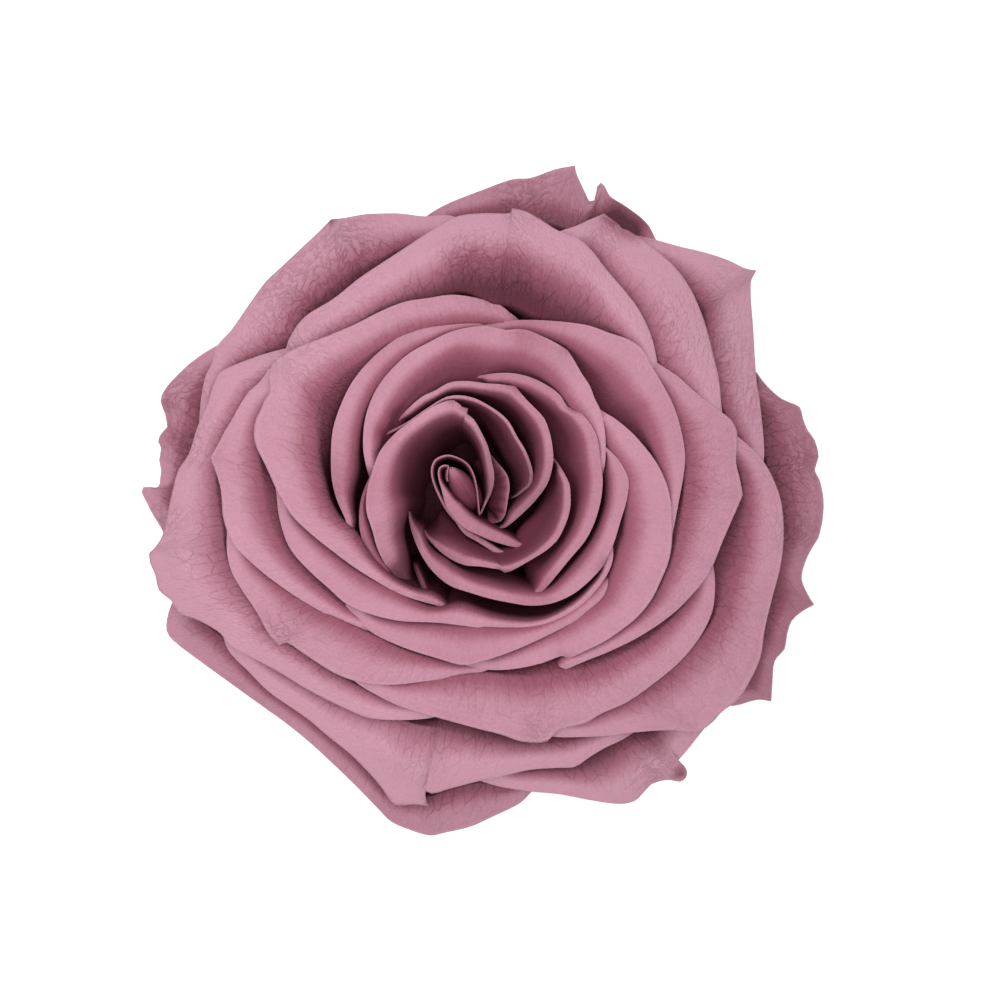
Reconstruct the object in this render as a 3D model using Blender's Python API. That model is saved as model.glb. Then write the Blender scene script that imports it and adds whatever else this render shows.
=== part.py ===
"""A preserved rose head, cut just below its hip.

Two solids: the bloom, which is thirty-three petals fused on their receptacle, and the calyx, which is
the green hip with five sepals folded back and the cut stub of the stem. The head stands on the flat cut
end of the stub and on the tips of the sepals. Lengths in the tables are in millimetres, as seen from above.
"""

import math

import bmesh
import bpy
import numpy as np
from mathutils import Vector

MM = 0.001

# The rounded top of the bloom, in millimetres: the rims stand highest on a ring, and fall by the square of
# the distance from it, little outwards and more into the heart
CROWN_HEIGHT = 47.0
CROWN_RADIUS = 9.0
OUTER_FALL = 0.028
HEART_FALL = 0.10

# Where the petals are and how they are rooted, in millimetres. Outer petals start at the foot, at the base
# of the receptacle, and the others at the height of the roots, inside it.
PETAL_THICKNESS = 0.7
HEART_AXIS = (-3.2, 2.0)
BASE_AXIS = (0.0, 0.0)
FOOT_HEIGHT = 12.5
FOOT_RADIUS = 4.2
ROOT_HEIGHT = 24.5

# How a rim departs from the dome, in millimetres, and the edges too short to keep once petals are fused
HIDDEN_SINK = 3.2
TIP_DROP = 0.8
SMALLEST_EDGE = 0.004

# The receptacle with the packed claws of the petals, and the bud that leans out of it: radius, height and
# how far the ring has moved towards the axis of the heart
RECEPTACLE = (
    (5.6, 12.0, 0.0), (9.6, 15.0, 0.0), (13.4, 19.5, 0.0), (15.2, 24.0, 0.0), (15.0, 29.0, 0.0),
    (12.5, 33.0, 0.0), (5.0, 35.0, 0.3), (3.4, 37.0, 0.55), (1.7, 40.0, 0.85), (0.7, 42.4, 1.0),
)
RECEPTACLE_SIDES = 18

# Driving sizes of the calyx, in millimetres
HIP_PROFILE = (
    (3.4, 0.0, 0.0), (3.3, 3.4, 0.0), (4.6, 4.8, 0.0), (6.3, 7.2, 0.0), (6.5, 9.2, 0.0), (5.4, 11.0, 0.0),
    (5.0, 11.7, 0.0),
)
HIP_SIDES = 28
SEPAL_COUNT = 5
SEPAL_WIDTH = 7.0
SEPAL_THICKNESS = 0.9
SEPAL_LINE = ((4.2, 9.6), (7.6, 10.9), (10.8, 9.7), (13.6, 6.6), (15.6, 3.2), (17.8, 0.45))
SEPAL_SHAPE = (0.62, 0.92, 1.0, 0.78, 0.46, 0.10)

# The petals, from the heart outwards. Each row holds the petal's name, the axis that it curls round,
# the share of its showing band that its lip turns over, the height that its rim stands above the dome at
# its start, middle and end, the rim points at its start and end that lie under other petals, and its rim
# against the clock as seen from above. A third value of 1 marks a pointed tip.
PETALS = (
    ("bud_roll", "bud", 0.0, (-0.6, -0.6, -1.6), (0, 0), (
        (-1.8, 1.5), (-2.1, 2.7), (-3.2, 3.3), (-3.9, 2.5), (-3.1, 1.8))),
    ("bud_fold", "bud", 0.9, (-1.5, -1.5, -8.5), (0, 0), (
        (-3.0, 3.2), (-4.0, 3.5), (-4.4, 2.6), (-4.0, 1.4), (-3.4, 0.0), (-2.3, -1.9), (-0.7, -3.0),
        (2.0, -4.2), (4.7, -4.8))),
    ("bud_wrap", "bud", 0.0, (-5.0, -3.0, -8.5), (0, 0), (
        (-0.3, -1.0), (-0.4, 1.0), (-0.9, 2.8), (-2.0, 4.0), (-3.6, 4.5), (-5.0, 3.3), (-4.8, 1.6),
        (-3.6, -0.8), (-1.2, -3.6), (3.2, -6.0))),
    ("bud_side", "bud", 0.0, (-5.5, -4.5, -6.0), (0, 1), (
        (2.5, -1.2), (2.7, 1.0), (2.5, 2.7), (1.4, 4.3), (0.1, 5.2))),
    ("heart_1", "heart", (0.1, 0.6, 0.6), (-5.5, -0.5, -1.5), (0, 0), (
        (-0.1, -1.2), (0.8, 0.6), (1.2, 2.4), (0.9, 4.4), (-0.3, 7.2), (-2.6, 9.9, 1), (-4.0, 9.8),
        (-5.4, 9.2), (-8.2, 7.2), (-10.4, 4.5), (-11.3, 2.0), (-11.4, -1.0), (-10.2, -4.8), (-7.4, -7.2))),
    ("heart_2", "heart", 0.0, (-6.0, -1.5, -2.5), (0, 1), (
        (2.7, 0.2), (4.8, 1.5), (4.8, 3.2), (4.3, 5.2), (3.0, 7.6), (1.7, 9.0), (-0.3, 10.0), (-2.0, 10.4),
        (-4.0, 10.1), (-6.6, 7.6))),
    ("heart_3", "heart", (0.15, 0.45, 0.4), (-6.0, -0.4, -2.0), (0, 1), (
        (1.5, -2.8), (3.2, -2.0), (5.0, -0.3), (6.3, 1.4), (7.2, 4.6), (6.6, 7.8), (5.6, 9.6),
        (3.4, 11.3, 1), (-2.6, 11.9), (-4.4, 11.3), (-8.6, 8.3), (-10.2, 4.6))),
    ("heart_4", "heart", 0.2, (-3.0, -1.0, -2.5), (0, 1), (
        (-6.6, -2.6), (-5.2, -4.4), (-3.2, -6.0), (-0.8, -6.7), (2.4, -7.1, 1), (4.2, -6.5), (6.8, -4.9),
        (8.7, -0.6), (8.8, 1.4), (8.2, 3.0), (6.2, 5.6))),
    ("heart_5", "heart", (0.3, 0.45, 0.5), (-2.5, -0.2, -1.5), (0, 1), (
        (-7.4, -1.2), (-7.1, -3.2), (-4.9, -7.2), (-2.8, -8.6), (0.2, -9.6), (3.0, -10.3), (5.6, -10.5),
        (8.0, -9.9), (12.1, -6.6, 1), (13.2, -4.0), (14.4, -0.6), (14.6, 2.0), (13.7, 4.1), (11.2, 6.6))),
    ("heart_6", "heart", 0.42, (-3.5, 0.2, -6.0), (0, 1), (
        (5.3, -9.5), (9.6, -5.0), (11.3, -2.0), (11.9, 1.0), (11.8, 4.0), (10.9, 7.2), (9.4, 9.0),
        (8.5, 9.1), (7.4, 10.6), (4.8, 12.2), (0.8, 12.6), (-4.6, 12.0), (-7.6, 10.4), (-9.9, 7.6),
        (-11.6, 2.4), (-12.1, -1.6), (-11.2, -5.2), (-9.4, -7.0))),
    ("inner_1", "ring", 0.55, (-3.4, 0.0, -1.0), (2, 1), (
        (11.2, -2.2), (12.2, 0.6), (12.4, 4.0), (12.0, 8.2), (10.6, 11.6), (8.4, 15.0, 1), (5.8, 16.4),
        (3.6, 17.0), (0.4, 17.5), (-5.2, 15.7), (-8.2, 13.8), (-10.4, 11.2), (-11.6, 8.2), (-11.8, 5.0),
        (-11.0, 0.6))),
    ("inner_2", "ring", 0.6, (-1.0, 0.0, -1.5), (1, 1), (
        (3.0, 15.6), (0.6, 17.6), (-2.4, 17.9), (-8.6, 16.0), (-11.2, 13.7), (-13.2, 10.8), (-14.4, 7.6),
        (-15.0, 3.2), (-14.2, -0.6), (-13.0, -3.4), (-11.6, -5.4))),
    ("inner_3", "ring", 0.5, (-1.0, 0.0, -1.0), (1, 1), (
        (18.0, -6.0), (18.9, -3.4), (20.2, 4.4), (19.6, 7.8), (18.2, 11.2), (16.0, 15.0), (14.2, 16.2),
        (10.6, 17.3), (7.1, 17.8), (0.8, 17.5), (-1.8, 16.2))),
    ("inner_4", "ring", (0.75, 0.45, 0.5), (-1.5, 0.0, -1.5), (1, 1), (
        (-21.0, 3.0), (-20.4, 0.6), (-18.9, -4.8), (-15.4, -8.8), (-13.4, -10.6), (-10.2, -11.7),
        (-5.4, -12.2), (1.0, -12.9), (5.0, -12.7), (10.4, -9.9), (12.6, -7.5), (13.1, -4.8), (12.6, -2.4))),
    ("inner_5", "ring", 0.75, (-1.2, 0.0, -1.5), (1, 1), (
        (-15.6, -8.2), (-13.7, -10.3), (-11.2, -13.0), (-4.2, -15.8), (-1.6, -16.4), (1.8, -15.6),
        (9.3, -12.0), (12.0, -10.1), (13.0, -8.3), (13.8, -5.8))),
    ("inner_6", "ring", 0.55, (-1.2, 0.0, -1.0), (1, 1), (
        (-4.2, -15.4), (-1.4, -16.6), (1.8, -16.9), (8.0, -15.5), (8.6, -15.8, 1), (12.3, -14.0),
        (15.4, -11.7), (18.4, -6.8), (19.0, -2.0), (18.4, 2.0), (16.2, 5.4), (11.9, 8.7), (10.6, 10.2))),
    ("middle_1", "ring", 0.68, (-1.2, 0.4, -1.0), (1, 1), (
        (6.0, 17.0), (3.8, 17.8), (1.8, 19.4), (-2.7, 20.5), (-8.2, 19.6), (-13.2, 17.2), (-20.8, 13.6, 1),
        (-21.2, 11.6), (-22.7, 7.0), (-22.3, 5.0), (-21.0, 2.6), (-17.6, -2.8), (-14.6, -5.4),
        (-11.0, -7.8), (-7.6, -9.6), (-4.0, -10.6), (-1.6, -11.2))),
    ("middle_2", "ring", 0.64, (-1.2, 0.0, -1.0), (1, 1), (
        (6.0, -16.4), (8.2, -17.0), (12.6, -15.2), (17.0, -12.6), (20.6, -9.6), (23.1, -6.3, 1),
        (26.0, 0.5, 1), (25.4, 3.0), (25.4, 6.8), (21.0, 10.8), (17.4, 13.4), (16.0, 15.2))),
    ("middle_3", "ring", 0.62, (-1.0, 0.0, -1.2), (1, 1), (
        (-19.2, 15.0), (-20.7, 13.9), (-24.4, 9.0), (-27.1, 4.2, 1), (-26.2, 1.6), (-25.8, -1.5),
        (-24.8, -4.4), (-22.0, -7.2), (-18.2, -9.8), (-13.8, -12.2), (-11.0, -13.2), (-8.8, -14.0))),
    ("middle_4", "ring", 0.75, (-1.0, 0.0, -1.2), (1, 1), (
        (-25.4, -1.2), (-25.5, -3.4), (-25.2, -6.6), (-22.0, -12.0), (-20.2, -14.5, 1), (-17.8, -15.2),
        (-14.6, -17.2), (-11.2, -18.3), (-7.0, -18.2), (0.4, -17.0), (2.6, -16.2))),
    ("middle_5", "ring", 0.74, (-1.0, 0.0, -1.2), (1, 1), (
        (-14.6, -16.8), (-12.4, -18.2), (-8.2, -20.5), (-4.2, -21.7), (5.5, -24.2, 1), (7.4, -23.3),
        (10.4, -22.2), (14.2, -20.2), (18.0, -17.6), (21.0, -14.6), (23.0, -11.0), (23.2, -8.4),
        (22.6, -5.4))),
    ("middle_6", "ring", 0.66, (-1.0, -0.2, -1.2), (1, 1), (
        (4.8, -22.8), (7.6, -23.6), (12.4, -23.5), (17.4, -23.0), (21.5, -23.3, 1), (23.6, -21.4),
        (26.4, -18.6), (28.0, -14.0), (29.6, -7.0), (30.1, -3.2), (29.6, 0.6), (28.3, 3.6), (26.4, 5.6),
        (24.6, 6.8))),
    ("outer_1", "outer", 0.64, (-1.0, 0.4, -1.0), (1, 1), (
        (17.6, 10.8), (17.6, 13.4), (16.8, 16.5), (11.4, 24.2), (8.6, 26.6), (5.4, 28.1), (3.0, 28.9, 1),
        (-3.0, 28.0), (-6.6, 25.7), (-11.2, 22.8), (-15.2, 19.6), (-18.6, 16.8), (-19.4, 14.2))),
    ("outer_2", "outer", 0.76, (-1.5, -0.8, -1.2), (1, 1), (
        (23.8, 7.0), (23.7, 10.0), (22.8, 15.0), (21.2, 20.2), (18.8, 23.8), (15.6, 26.2), (12.2, 28.5, 1),
        (7.4, 26.4), (5.6, 25.2))),
    ("outer_3", "outer", 0.9, (-2.5, -2.0, -2.5), (1, 1), (
        (0.2, 27.0), (-3.0, 28.0), (-8.0, 28.5), (-13.0, 28.4), (-14.8, 28.0, 1), (-17.6, 25.6),
        (-20.8, 22.8), (-25.4, 15.8), (-26.8, 13.6), (-27.8, 10.6), (-28.0, 8.0), (-27.4, 5.6))),
    ("outer_4", "outer", 0.88, (-3.0, -2.6, -2.8), (1, 1), (
        (27.6, 2.0), (28.0, 5.4), (27.6, 10.0), (27.1, 16.0), (26.7, 20.8), (26.8, 22.6, 1), (23.8, 24.2),
        (19.6, 25.3), (16.4, 26.0), (14.0, 26.6), (12.2, 26.4))),
    ("outer_5", "outer", 0.86, (-1.2, -1.0, -1.6), (1, 1), (
        (-17.8, 15.4), (-20.6, 14.8), (-26.4, 12.0), (-29.6, 3.8), (-32.0, -4.0), (-33.2, -5.3, 1),
        (-32.7, -7.2), (-30.0, -11.4), (-26.0, -13.3), (-23.8, -15.2), (-14.6, -20.4), (-11.0, -21.7),
        (-6.4, -21.8), (-3.4, -21.2))),
    ("outer_6", "outer", 0.9, (-2.6, -2.2, -2.4), (1, 1), (
        (-26.4, -12.8), (-24.4, -15.6), (-21.4, -18.8), (-17.4, -21.4), (-13.4, -25.0), (-8.6, -30.4),
        (-5.6, -30.4, 1), (-6.0, -28.8), (0.0, -27.8), (4.6, -26.8), (9.0, -26.5), (12.0, -24.7),
        (16.4, -23.2))),
    ("outer_7", "outer", 0.9, (-3.4, -3.0, -3.2), (1, 1), (
        (-3.4, -27.0), (0.2, -28.2), (4.6, -29.0), (9.4, -29.6), (13.8, -30.3), (15.6, -29.6),
        (17.2, -27.9), (19.6, -27.6, 1), (20.4, -25.4), (22.2, -23.2), (23.8, -21.4), (25.0, -19.8))),
    ("guard_1", "outer", 0.9, (-6.0, -5.5, -6.0), (1, 1), (
        (17.4, 24.4), (16.8, 27.0), (12.5, 30.0), (11.8, 31.5, 1), (10.6, 29.8),
        (9.3, 33.3, 1), (7.0, 32.8), (3.4, 31.9), (-0.4, 30.6), (-3.4, 29.3), (-5.4, 28.3),
        (-7.2, 26.8))),
    ("guard_2", "outer", 0.9, (-6.0, -5.5, -6.0), (1, 1), (
        (23.4, -20.4), (25.0, -21.0), (28.8, -20.0, 1), (29.0, -16.6), (30.4, -13.2), (33.1, -10.4, 1),
        (31.8, -8.0), (32.3, -5.4), (33.8, -2.4), (34.0, 0.4), (33.1, 3.0), (33.3, 5.6), (31.8, 8.4),
        (30.0, 10.0), (27.6, 12.0), (26.0, 13.6))),
    ("guard_3", "outer", 0.9, (-6.0, -5.5, -6.0), (1, 1), (
        (-31.0, -9.4), (-31.2, -12.2), (-30.7, -14.0), (-22.4, -19.8), (-17.2, -24.2), (-9.6, -31.6),
        (-5.2, -33.3), (-1.4, -32.6), (2.0, -30.8), (4.8, -29.0), (6.4, -27.6))),
    ("guard_4", "outer", 0.9, (-6.0, -5.5, -6.0), (1, 1), (
        (-24.0, 16.6), (-26.4, 15.4), (-30.2, 12.5), (-32.0, 10.2), (-31.3, 7.8), (-32.2, 5.8),
        (-31.8, 2.8), (-33.7, 1.3, 1), (-33.6, -0.4), (-31.7, -3.2), (-30.2, -5.2))),
)

# The lines across a petal run from its foot to its rim: foot, belly, wall, crest and rim. These are their
# shares of the way to the heart's axis, and of the petal's full spread round its axis.
LEANS = {
    "bud": (0.0, 0.35, 0.9, 1.0, 1.0),
    "heart": (0.0, 0.4, 0.9, 1.0, 1.0),
    "ring": (0.0, 0.0, 0.0, 0.0, 0.0),
    "outer": (0.0, 0.0, 0.0, 0.0, 0.0),
}
OUTER_SPREADS = (0.5, 0.86, 1.0, 1.0, 1.0)

# The belly: its radius as a share of the wall's and in millimetres, and in an outer petal its share of
# the height from the foot to the rim
BELLIES = {"bud": (0.6, 0.8), "heart": (0.7, 0.0), "ring": (0.62, 0.0), "outer": (0.72, 0.6)}
BELLY_RISE = 0.42

# The wall: its drop below the crest in millimetres and as a share of the showing band, the share of the
# band behind the lip that it leans in over, and its radius as a share of the rim's in the bud and at least
FALLS = {"bud": (5.0, 0.0), "heart": (7.0, 0.5), "ring": (1.6, 0.9), "outer": (1.6, 0.9)}
LEAN_IN = {"bud": 0.3, "heart": 0.3, "ring": 1.0, "outer": 1.0}
WALL_INSET = 0.2
BUD_WALL = 0.92
SMALLEST_WALL = 0.45

# The lip turned over from the crest to the rim: how far it droops for its width, how quickly it widens from
# the petal's ends, and the place of the crest inside and above it, in millimetres
LIP_DROOP = 0.34
LIP_RUN_OUT = 7.0
CREST_INSET = 0.15
CREST_RISE = 0.25

# The showing band: the widest in millimetres, and how much of it is lost at an end under other petals
WIDEST_BAND = 8.5
BURIED_BAND = 0.85


def clear_scene():
    for old in list(bpy.data.objects):
        bpy.data.objects.remove(old, do_unlink=True)


def principled(name, colour, roughness):
    """A plain material of one colour, as red, green and blue from 0 to 1."""
    material = bpy.data.materials.new(name)
    material.use_nodes = True
    shader = material.node_tree.nodes["Principled BSDF"]
    shader.inputs["Base Color"].default_value = (*colour, 1.0)
    shader.inputs["Roughness"].default_value = roughness
    shader.inputs["Metallic"].default_value = 0.0
    return material


def dome_height(radius):
    """Height of a rim on the rounded top of the bloom: highest at the crown ring, lower in the heart."""
    away = radius - CROWN_RADIUS
    return CROWN_HEIGHT - np.where(away > 0.0, OUTER_FALL, HEART_FALL) * away**2


def rim_points(rim):
    return np.array([point[:2] for point in rim], float)


def rim_tips(rim):
    return np.array([len(point) == 3 for point in rim], float)


def showing_lines():
    """The stretch of every rim that no other petal covers, by the petal's name."""
    lines = {}
    for name, _, _, _, hidden, rim in PETALS:
        lines[name] = rim_points(rim)[hidden[0] : len(rim) - hidden[1]]
    return lines


def crossing_distance(start, direction, line):
    """Distance along a ray, in plan, to the nearest place where it crosses a line of points."""
    first = line[:-1] - start
    along = line[1:] - line[:-1]
    cross = direction[0] * along[:, 1] - direction[1] * along[:, 0]
    cross = np.where(np.abs(cross) < 1e-9, 1e-9, cross)
    distance = (first[:, 0] * along[:, 1] - first[:, 1] * along[:, 0]) / cross
    share = (first[:, 0] * direction[1] - first[:, 1] * direction[0]) / cross
    hits = distance[(share >= 0.0) & (share <= 1.0) & (distance > 0.3)]
    return hits.min() if len(hits) else WIDEST_BAND


def band_widths(name, points, axis, lines):
    """Width of the band that a petal shows between its own rim and the next rim towards its axis."""
    widths = []
    for point in points:
        inward = axis - point
        inward /= max(np.hypot(*inward), 1e-6)
        others = [crossing_distance(point, inward, lines[other]) for other in lines if other != name]
        widths.append(min(*others, WIDEST_BAND))
    padded = np.concatenate([widths[:1], widths, widths[-1:]])
    return (padded[:-2] + 2.0 * padded[1:-1] + padded[2:]) / 4.0


def hidden_share(count, hidden):
    """From 1 at an end that lies under other petals to 0 where the rim shows."""
    share = np.zeros(count)
    for index in range(hidden[0]):
        share[index] = 1.0 - index / hidden[0]
    for index in range(hidden[1]):
        share[count - 1 - index] = max(share[count - 1 - index], 1.0 - index / hidden[1])
    return share


def petal_rows(name, kind, lip_share, lifts, hidden, rim, lines):
    """The lines across a petal, from its foot or belly to its rim, each with a point for each rim point."""
    axis = np.array(HEART_AXIS if kind in ("bud", "heart") else BASE_AXIS)
    points = rim_points(rim)
    count = len(points)
    along = np.linspace(0.0, 1.0, count)
    buried = hidden_share(count, hidden)
    lift = np.interp(along, (0.0, 0.5, 1.0), lifts)
    height = dome_height(np.hypot(points[:, 0], points[:, 1])) + lift
    height -= HIDDEN_SINK * buried + TIP_DROP * rim_tips(rim)

    outward = points - axis
    radius = np.hypot(outward[:, 0], outward[:, 1])
    angle = np.unwrap(np.arctan2(outward[:, 1], outward[:, 0]))
    middle = (angle[0] + angle[-1]) / 2.0

    band = band_widths(name, points, axis, lines) * (1.0 - BURIED_BAND * buried)
    ends = np.clip(np.minimum(along, 1.0 - along) * LIP_RUN_OUT, 0.0, 1.0)
    lip_share = np.interp(along, (0.0, 0.5, 1.0), lip_share * np.ones(3))
    lip = lip_share * band * ends * (1.0 - buried)
    wall = radius - lip - LEAN_IN[kind] * (band - lip) - WALL_INSET
    if kind == "bud":
        lip = lip_share * ends
        wall = BUD_WALL * radius
    wall = np.maximum(wall, SMALLEST_WALL * radius)
    fall = FALLS[kind][0] + FALLS[kind][1] * band
    belly = BELLIES[kind][0] * wall + BELLIES[kind][1]
    belly_height = np.full(count, ROOT_HEIGHT)
    if kind == "outer":
        belly_height = FOOT_HEIGHT + BELLY_RISE * (height - FOOT_HEIGHT)
    crest = height + LIP_DROOP * lip + CREST_RISE
    radii = (np.full(count, FOOT_RADIUS), belly, wall, radius - lip - CREST_INSET, radius)
    heights = (np.full(count, FOOT_HEIGHT), belly_height, crest - fall, crest, height)
    rows = []
    for row in range(5):
        if (row == 0 and kind != "outer") or (row == 3 and not lip.any()):
            continue
        turn = middle + (angle - middle) * (OUTER_SPREADS[row] if kind == "outer" else 1.0)
        x = axis[0] * LEANS[kind][row] + radii[row] * np.cos(turn)
        y = axis[1] * LEANS[kind][row] + radii[row] * np.sin(turn)
        rows.append(np.stack([x, y, heights[row]], axis=1))
    return np.stack(rows)


def surface_normals(rows):
    """Unit normals of a grid of points, from the differences along and across it."""
    across = np.gradient(rows, axis=0)
    along = np.gradient(rows, axis=1)
    normal = np.cross(along, across)
    return normal / np.maximum(np.linalg.norm(normal, axis=2, keepdims=True), 1e-9)


def blade_mesh(name, rows, thickness):
    """A closed blade of even thickness about a grid of points, with both faces split alike."""
    half = surface_normals(rows) * thickness / 2.0
    across, along = rows.shape[:2]
    built = bmesh.new()
    sides = []
    for side in (rows + half, rows - half):
        sides.append([[built.verts.new(Vector(point) * MM) for point in line] for line in side])
    front, back = sides
    for i in range(across - 1):
        for j in range(along - 1):
            for grid, order in ((front, 1), (back, -1)):
                a, b, c, d = grid[i][j], grid[i][j + 1], grid[i + 1][j + 1], grid[i + 1][j]
                built.faces.new((a, b, c)[::order])
                built.faces.new((a, c, d)[::order])
    border = [(0, j) for j in range(along)] + [(i, along - 1) for i in range(1, across)]
    border += [(across - 1, j) for j in range(along - 2, -1, -1)] + [(i, 0) for i in range(across - 2, 0, -1)]
    for (i, j), (m, n) in zip(border, border[1:] + border[:1]):
        built.faces.new((front[i][j], back[i][j], back[m][n]))
        built.faces.new((front[i][j], back[m][n], front[m][n]))
    bmesh.ops.recalc_face_normals(built, faces=built.faces)
    mesh = bpy.data.meshes.new(name)
    built.to_mesh(mesh)
    built.free()
    return mesh


def turned_mesh(name, profile, sides):
    """A closed solid of rings, each with a radius, a height and a share of the way to the heart's axis."""
    built = bmesh.new()
    rings = []
    for radius, height, lean in profile:
        ring = []
        for side in range(sides):
            turn = 2.0 * math.pi * side / sides
            x = HEART_AXIS[0] * lean + radius * math.cos(turn)
            y = HEART_AXIS[1] * lean + radius * math.sin(turn)
            ring.append(built.verts.new(Vector((x, y, height)) * MM))
        rings.append(ring)
    for lower, upper in zip(rings, rings[1:]):
        for side in range(sides):
            ahead = (side + 1) % sides
            built.faces.new((lower[side], lower[ahead], upper[ahead], upper[side]))
    built.faces.new(rings[0][::-1])
    built.faces.new(rings[-1])
    bmesh.ops.recalc_face_normals(built, faces=built.faces)
    mesh = bpy.data.meshes.new(name)
    built.to_mesh(mesh)
    built.free()
    return mesh


def islands(built):
    """The separate closed skins of a mesh, each as a list of its faces. Two that share an edge stay apart."""
    left = set(built.faces)
    found = []
    while left:
        group = [left.pop()]
        for face in group:
            for edge in face.edges:
                if len(edge.link_faces) != 2:
                    continue
                for other in edge.link_faces:
                    if other in left:
                        left.remove(other)
                        group.append(other)
        found.append(group)
    return found


def skin_volume(faces):
    """Volume inside a skin, below zero where the skin is the wall of a sealed hollow."""
    total = 0.0
    for face in faces:
        first = face.verts[0].co
        for second, third in zip(face.verts[1:-1], face.verts[2:]):
            total += first.dot(second.co.cross(third.co)) / 6.0
    return total


def fuse(base, pieces, solver):
    """Joins the pieces to the base as one solid, without loose scraps or sealed hollows."""
    group = bpy.data.collections.new(base.name + "_pieces")
    for piece in pieces:
        group.objects.link(piece)
    union = base.modifiers.new("fuse", "BOOLEAN")
    union.operation = "UNION"
    union.operand_type = "COLLECTION"
    union.collection = group
    union.solver = solver
    graph = bpy.context.evaluated_depsgraph_get()
    fused = bpy.data.meshes.new_from_object(base.evaluated_get(graph))
    base.modifiers.clear()
    base.data = fused
    for piece in pieces:
        bpy.data.objects.remove(piece, do_unlink=True)
    bpy.data.collections.remove(group)

    built = bmesh.new()
    built.from_mesh(fused)
    bmesh.ops.triangulate(built, faces=built.faces)
    bmesh.ops.remove_doubles(built, verts=built.verts, dist=SMALLEST_EDGE * MM)
    skins = sorted(islands(built), key=skin_volume)
    scraps = [face for skin in skins[:-1] for face in skin]
    bmesh.ops.delete(built, geom=scraps, context="FACES")
    built.to_mesh(fused)
    built.free()


def add_object(name, mesh, material):
    made = bpy.data.objects.new(name, mesh)
    bpy.context.scene.collection.objects.link(made)
    if material:
        mesh.materials.append(material)
    return made


def make_bloom(material):
    core = turned_mesh("bloom", RECEPTACLE, RECEPTACLE_SIDES)
    bloom = add_object("bloom", core, material)
    lines = showing_lines()
    petals = []
    for name, kind, lip_share, lifts, hidden, rim in PETALS:
        rows = petal_rows(name, kind, lip_share, lifts, hidden, rim, lines)
        petals.append(add_object(name, blade_mesh(name, rows, PETAL_THICKNESS), None))
    fuse(bloom, petals, "MANIFOLD")
    bloom.data.shade_smooth()
    bloom.data.set_sharp_from_angle(angle=math.radians(50.0))
    return bloom


def sepal_rows(turn):
    """The lines across one sepal, folded back from the top of the hip to the ground."""
    outward = np.array([math.cos(turn), math.sin(turn), 0.0])
    sideways = np.array([-math.sin(turn), math.cos(turn), 0.0])
    rows = []
    for (radius, height), share in zip(SEPAL_LINE, SEPAL_SHAPE):
        half = SEPAL_WIDTH / 2.0 * share
        line = []
        for place in (-1.0, -0.5, 0.0, 0.5, 1.0):
            sag = 0.10 * half * place**2
            line.append(outward * (radius - sag) + sideways * half * place + (0.0, 0.0, height))
        rows.append(line)
    return np.array(rows)


def make_calyx(material):
    calyx = add_object("calyx", turned_mesh("calyx", HIP_PROFILE, HIP_SIDES), material)
    sepals = []
    for number in range(SEPAL_COUNT):
        rows = sepal_rows(2.0 * math.pi * number / SEPAL_COUNT + math.radians(18.0))
        sepals.append(add_object("sepal", blade_mesh("sepal", rows, SEPAL_THICKNESS), None))
    fuse(calyx, sepals, "EXACT")
    calyx.data.shade_smooth()
    calyx.data.set_sharp_from_angle(angle=math.radians(50.0))
    return calyx


def main():
    clear_scene()
    make_bloom(principled("petal_rose", (0.52, 0.27, 0.33), 0.75))
    make_calyx(principled("calyx_green", (0.16, 0.18, 0.08), 0.8))


main()
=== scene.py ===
"""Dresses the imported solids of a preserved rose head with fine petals, a fine calyx and their finishes.

Lengths in the tables are in millimetres, seen from above, with the heart's middle near -3.2, 2.0.
"""

import math
from collections import namedtuple

import bmesh
import bpy
import numpy as np
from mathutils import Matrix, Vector, noise


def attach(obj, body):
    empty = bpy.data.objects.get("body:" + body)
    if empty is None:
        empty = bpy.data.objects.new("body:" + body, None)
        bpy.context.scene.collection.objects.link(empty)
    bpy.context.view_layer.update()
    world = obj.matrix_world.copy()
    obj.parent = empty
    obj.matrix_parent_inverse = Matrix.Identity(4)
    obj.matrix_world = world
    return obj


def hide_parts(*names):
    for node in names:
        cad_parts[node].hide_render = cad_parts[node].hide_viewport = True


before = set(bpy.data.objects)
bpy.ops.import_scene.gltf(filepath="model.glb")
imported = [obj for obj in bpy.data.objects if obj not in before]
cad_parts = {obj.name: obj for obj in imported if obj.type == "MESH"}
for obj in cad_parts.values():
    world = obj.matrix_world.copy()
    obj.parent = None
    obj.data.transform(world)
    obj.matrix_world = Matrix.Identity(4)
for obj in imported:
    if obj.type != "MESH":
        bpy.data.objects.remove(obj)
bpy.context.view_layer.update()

bl_info = {
    "name": "Preserved rose head",
    "version": (1, 0, 0),
    "blender": (4, 5, 0),
    "location": "View3D > Sidebar > Rose",
    "description": "Makes the petals, the calyx and the studio of a preserved rose head",
    "category": "Add Mesh",
}

MM = 0.001

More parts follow.
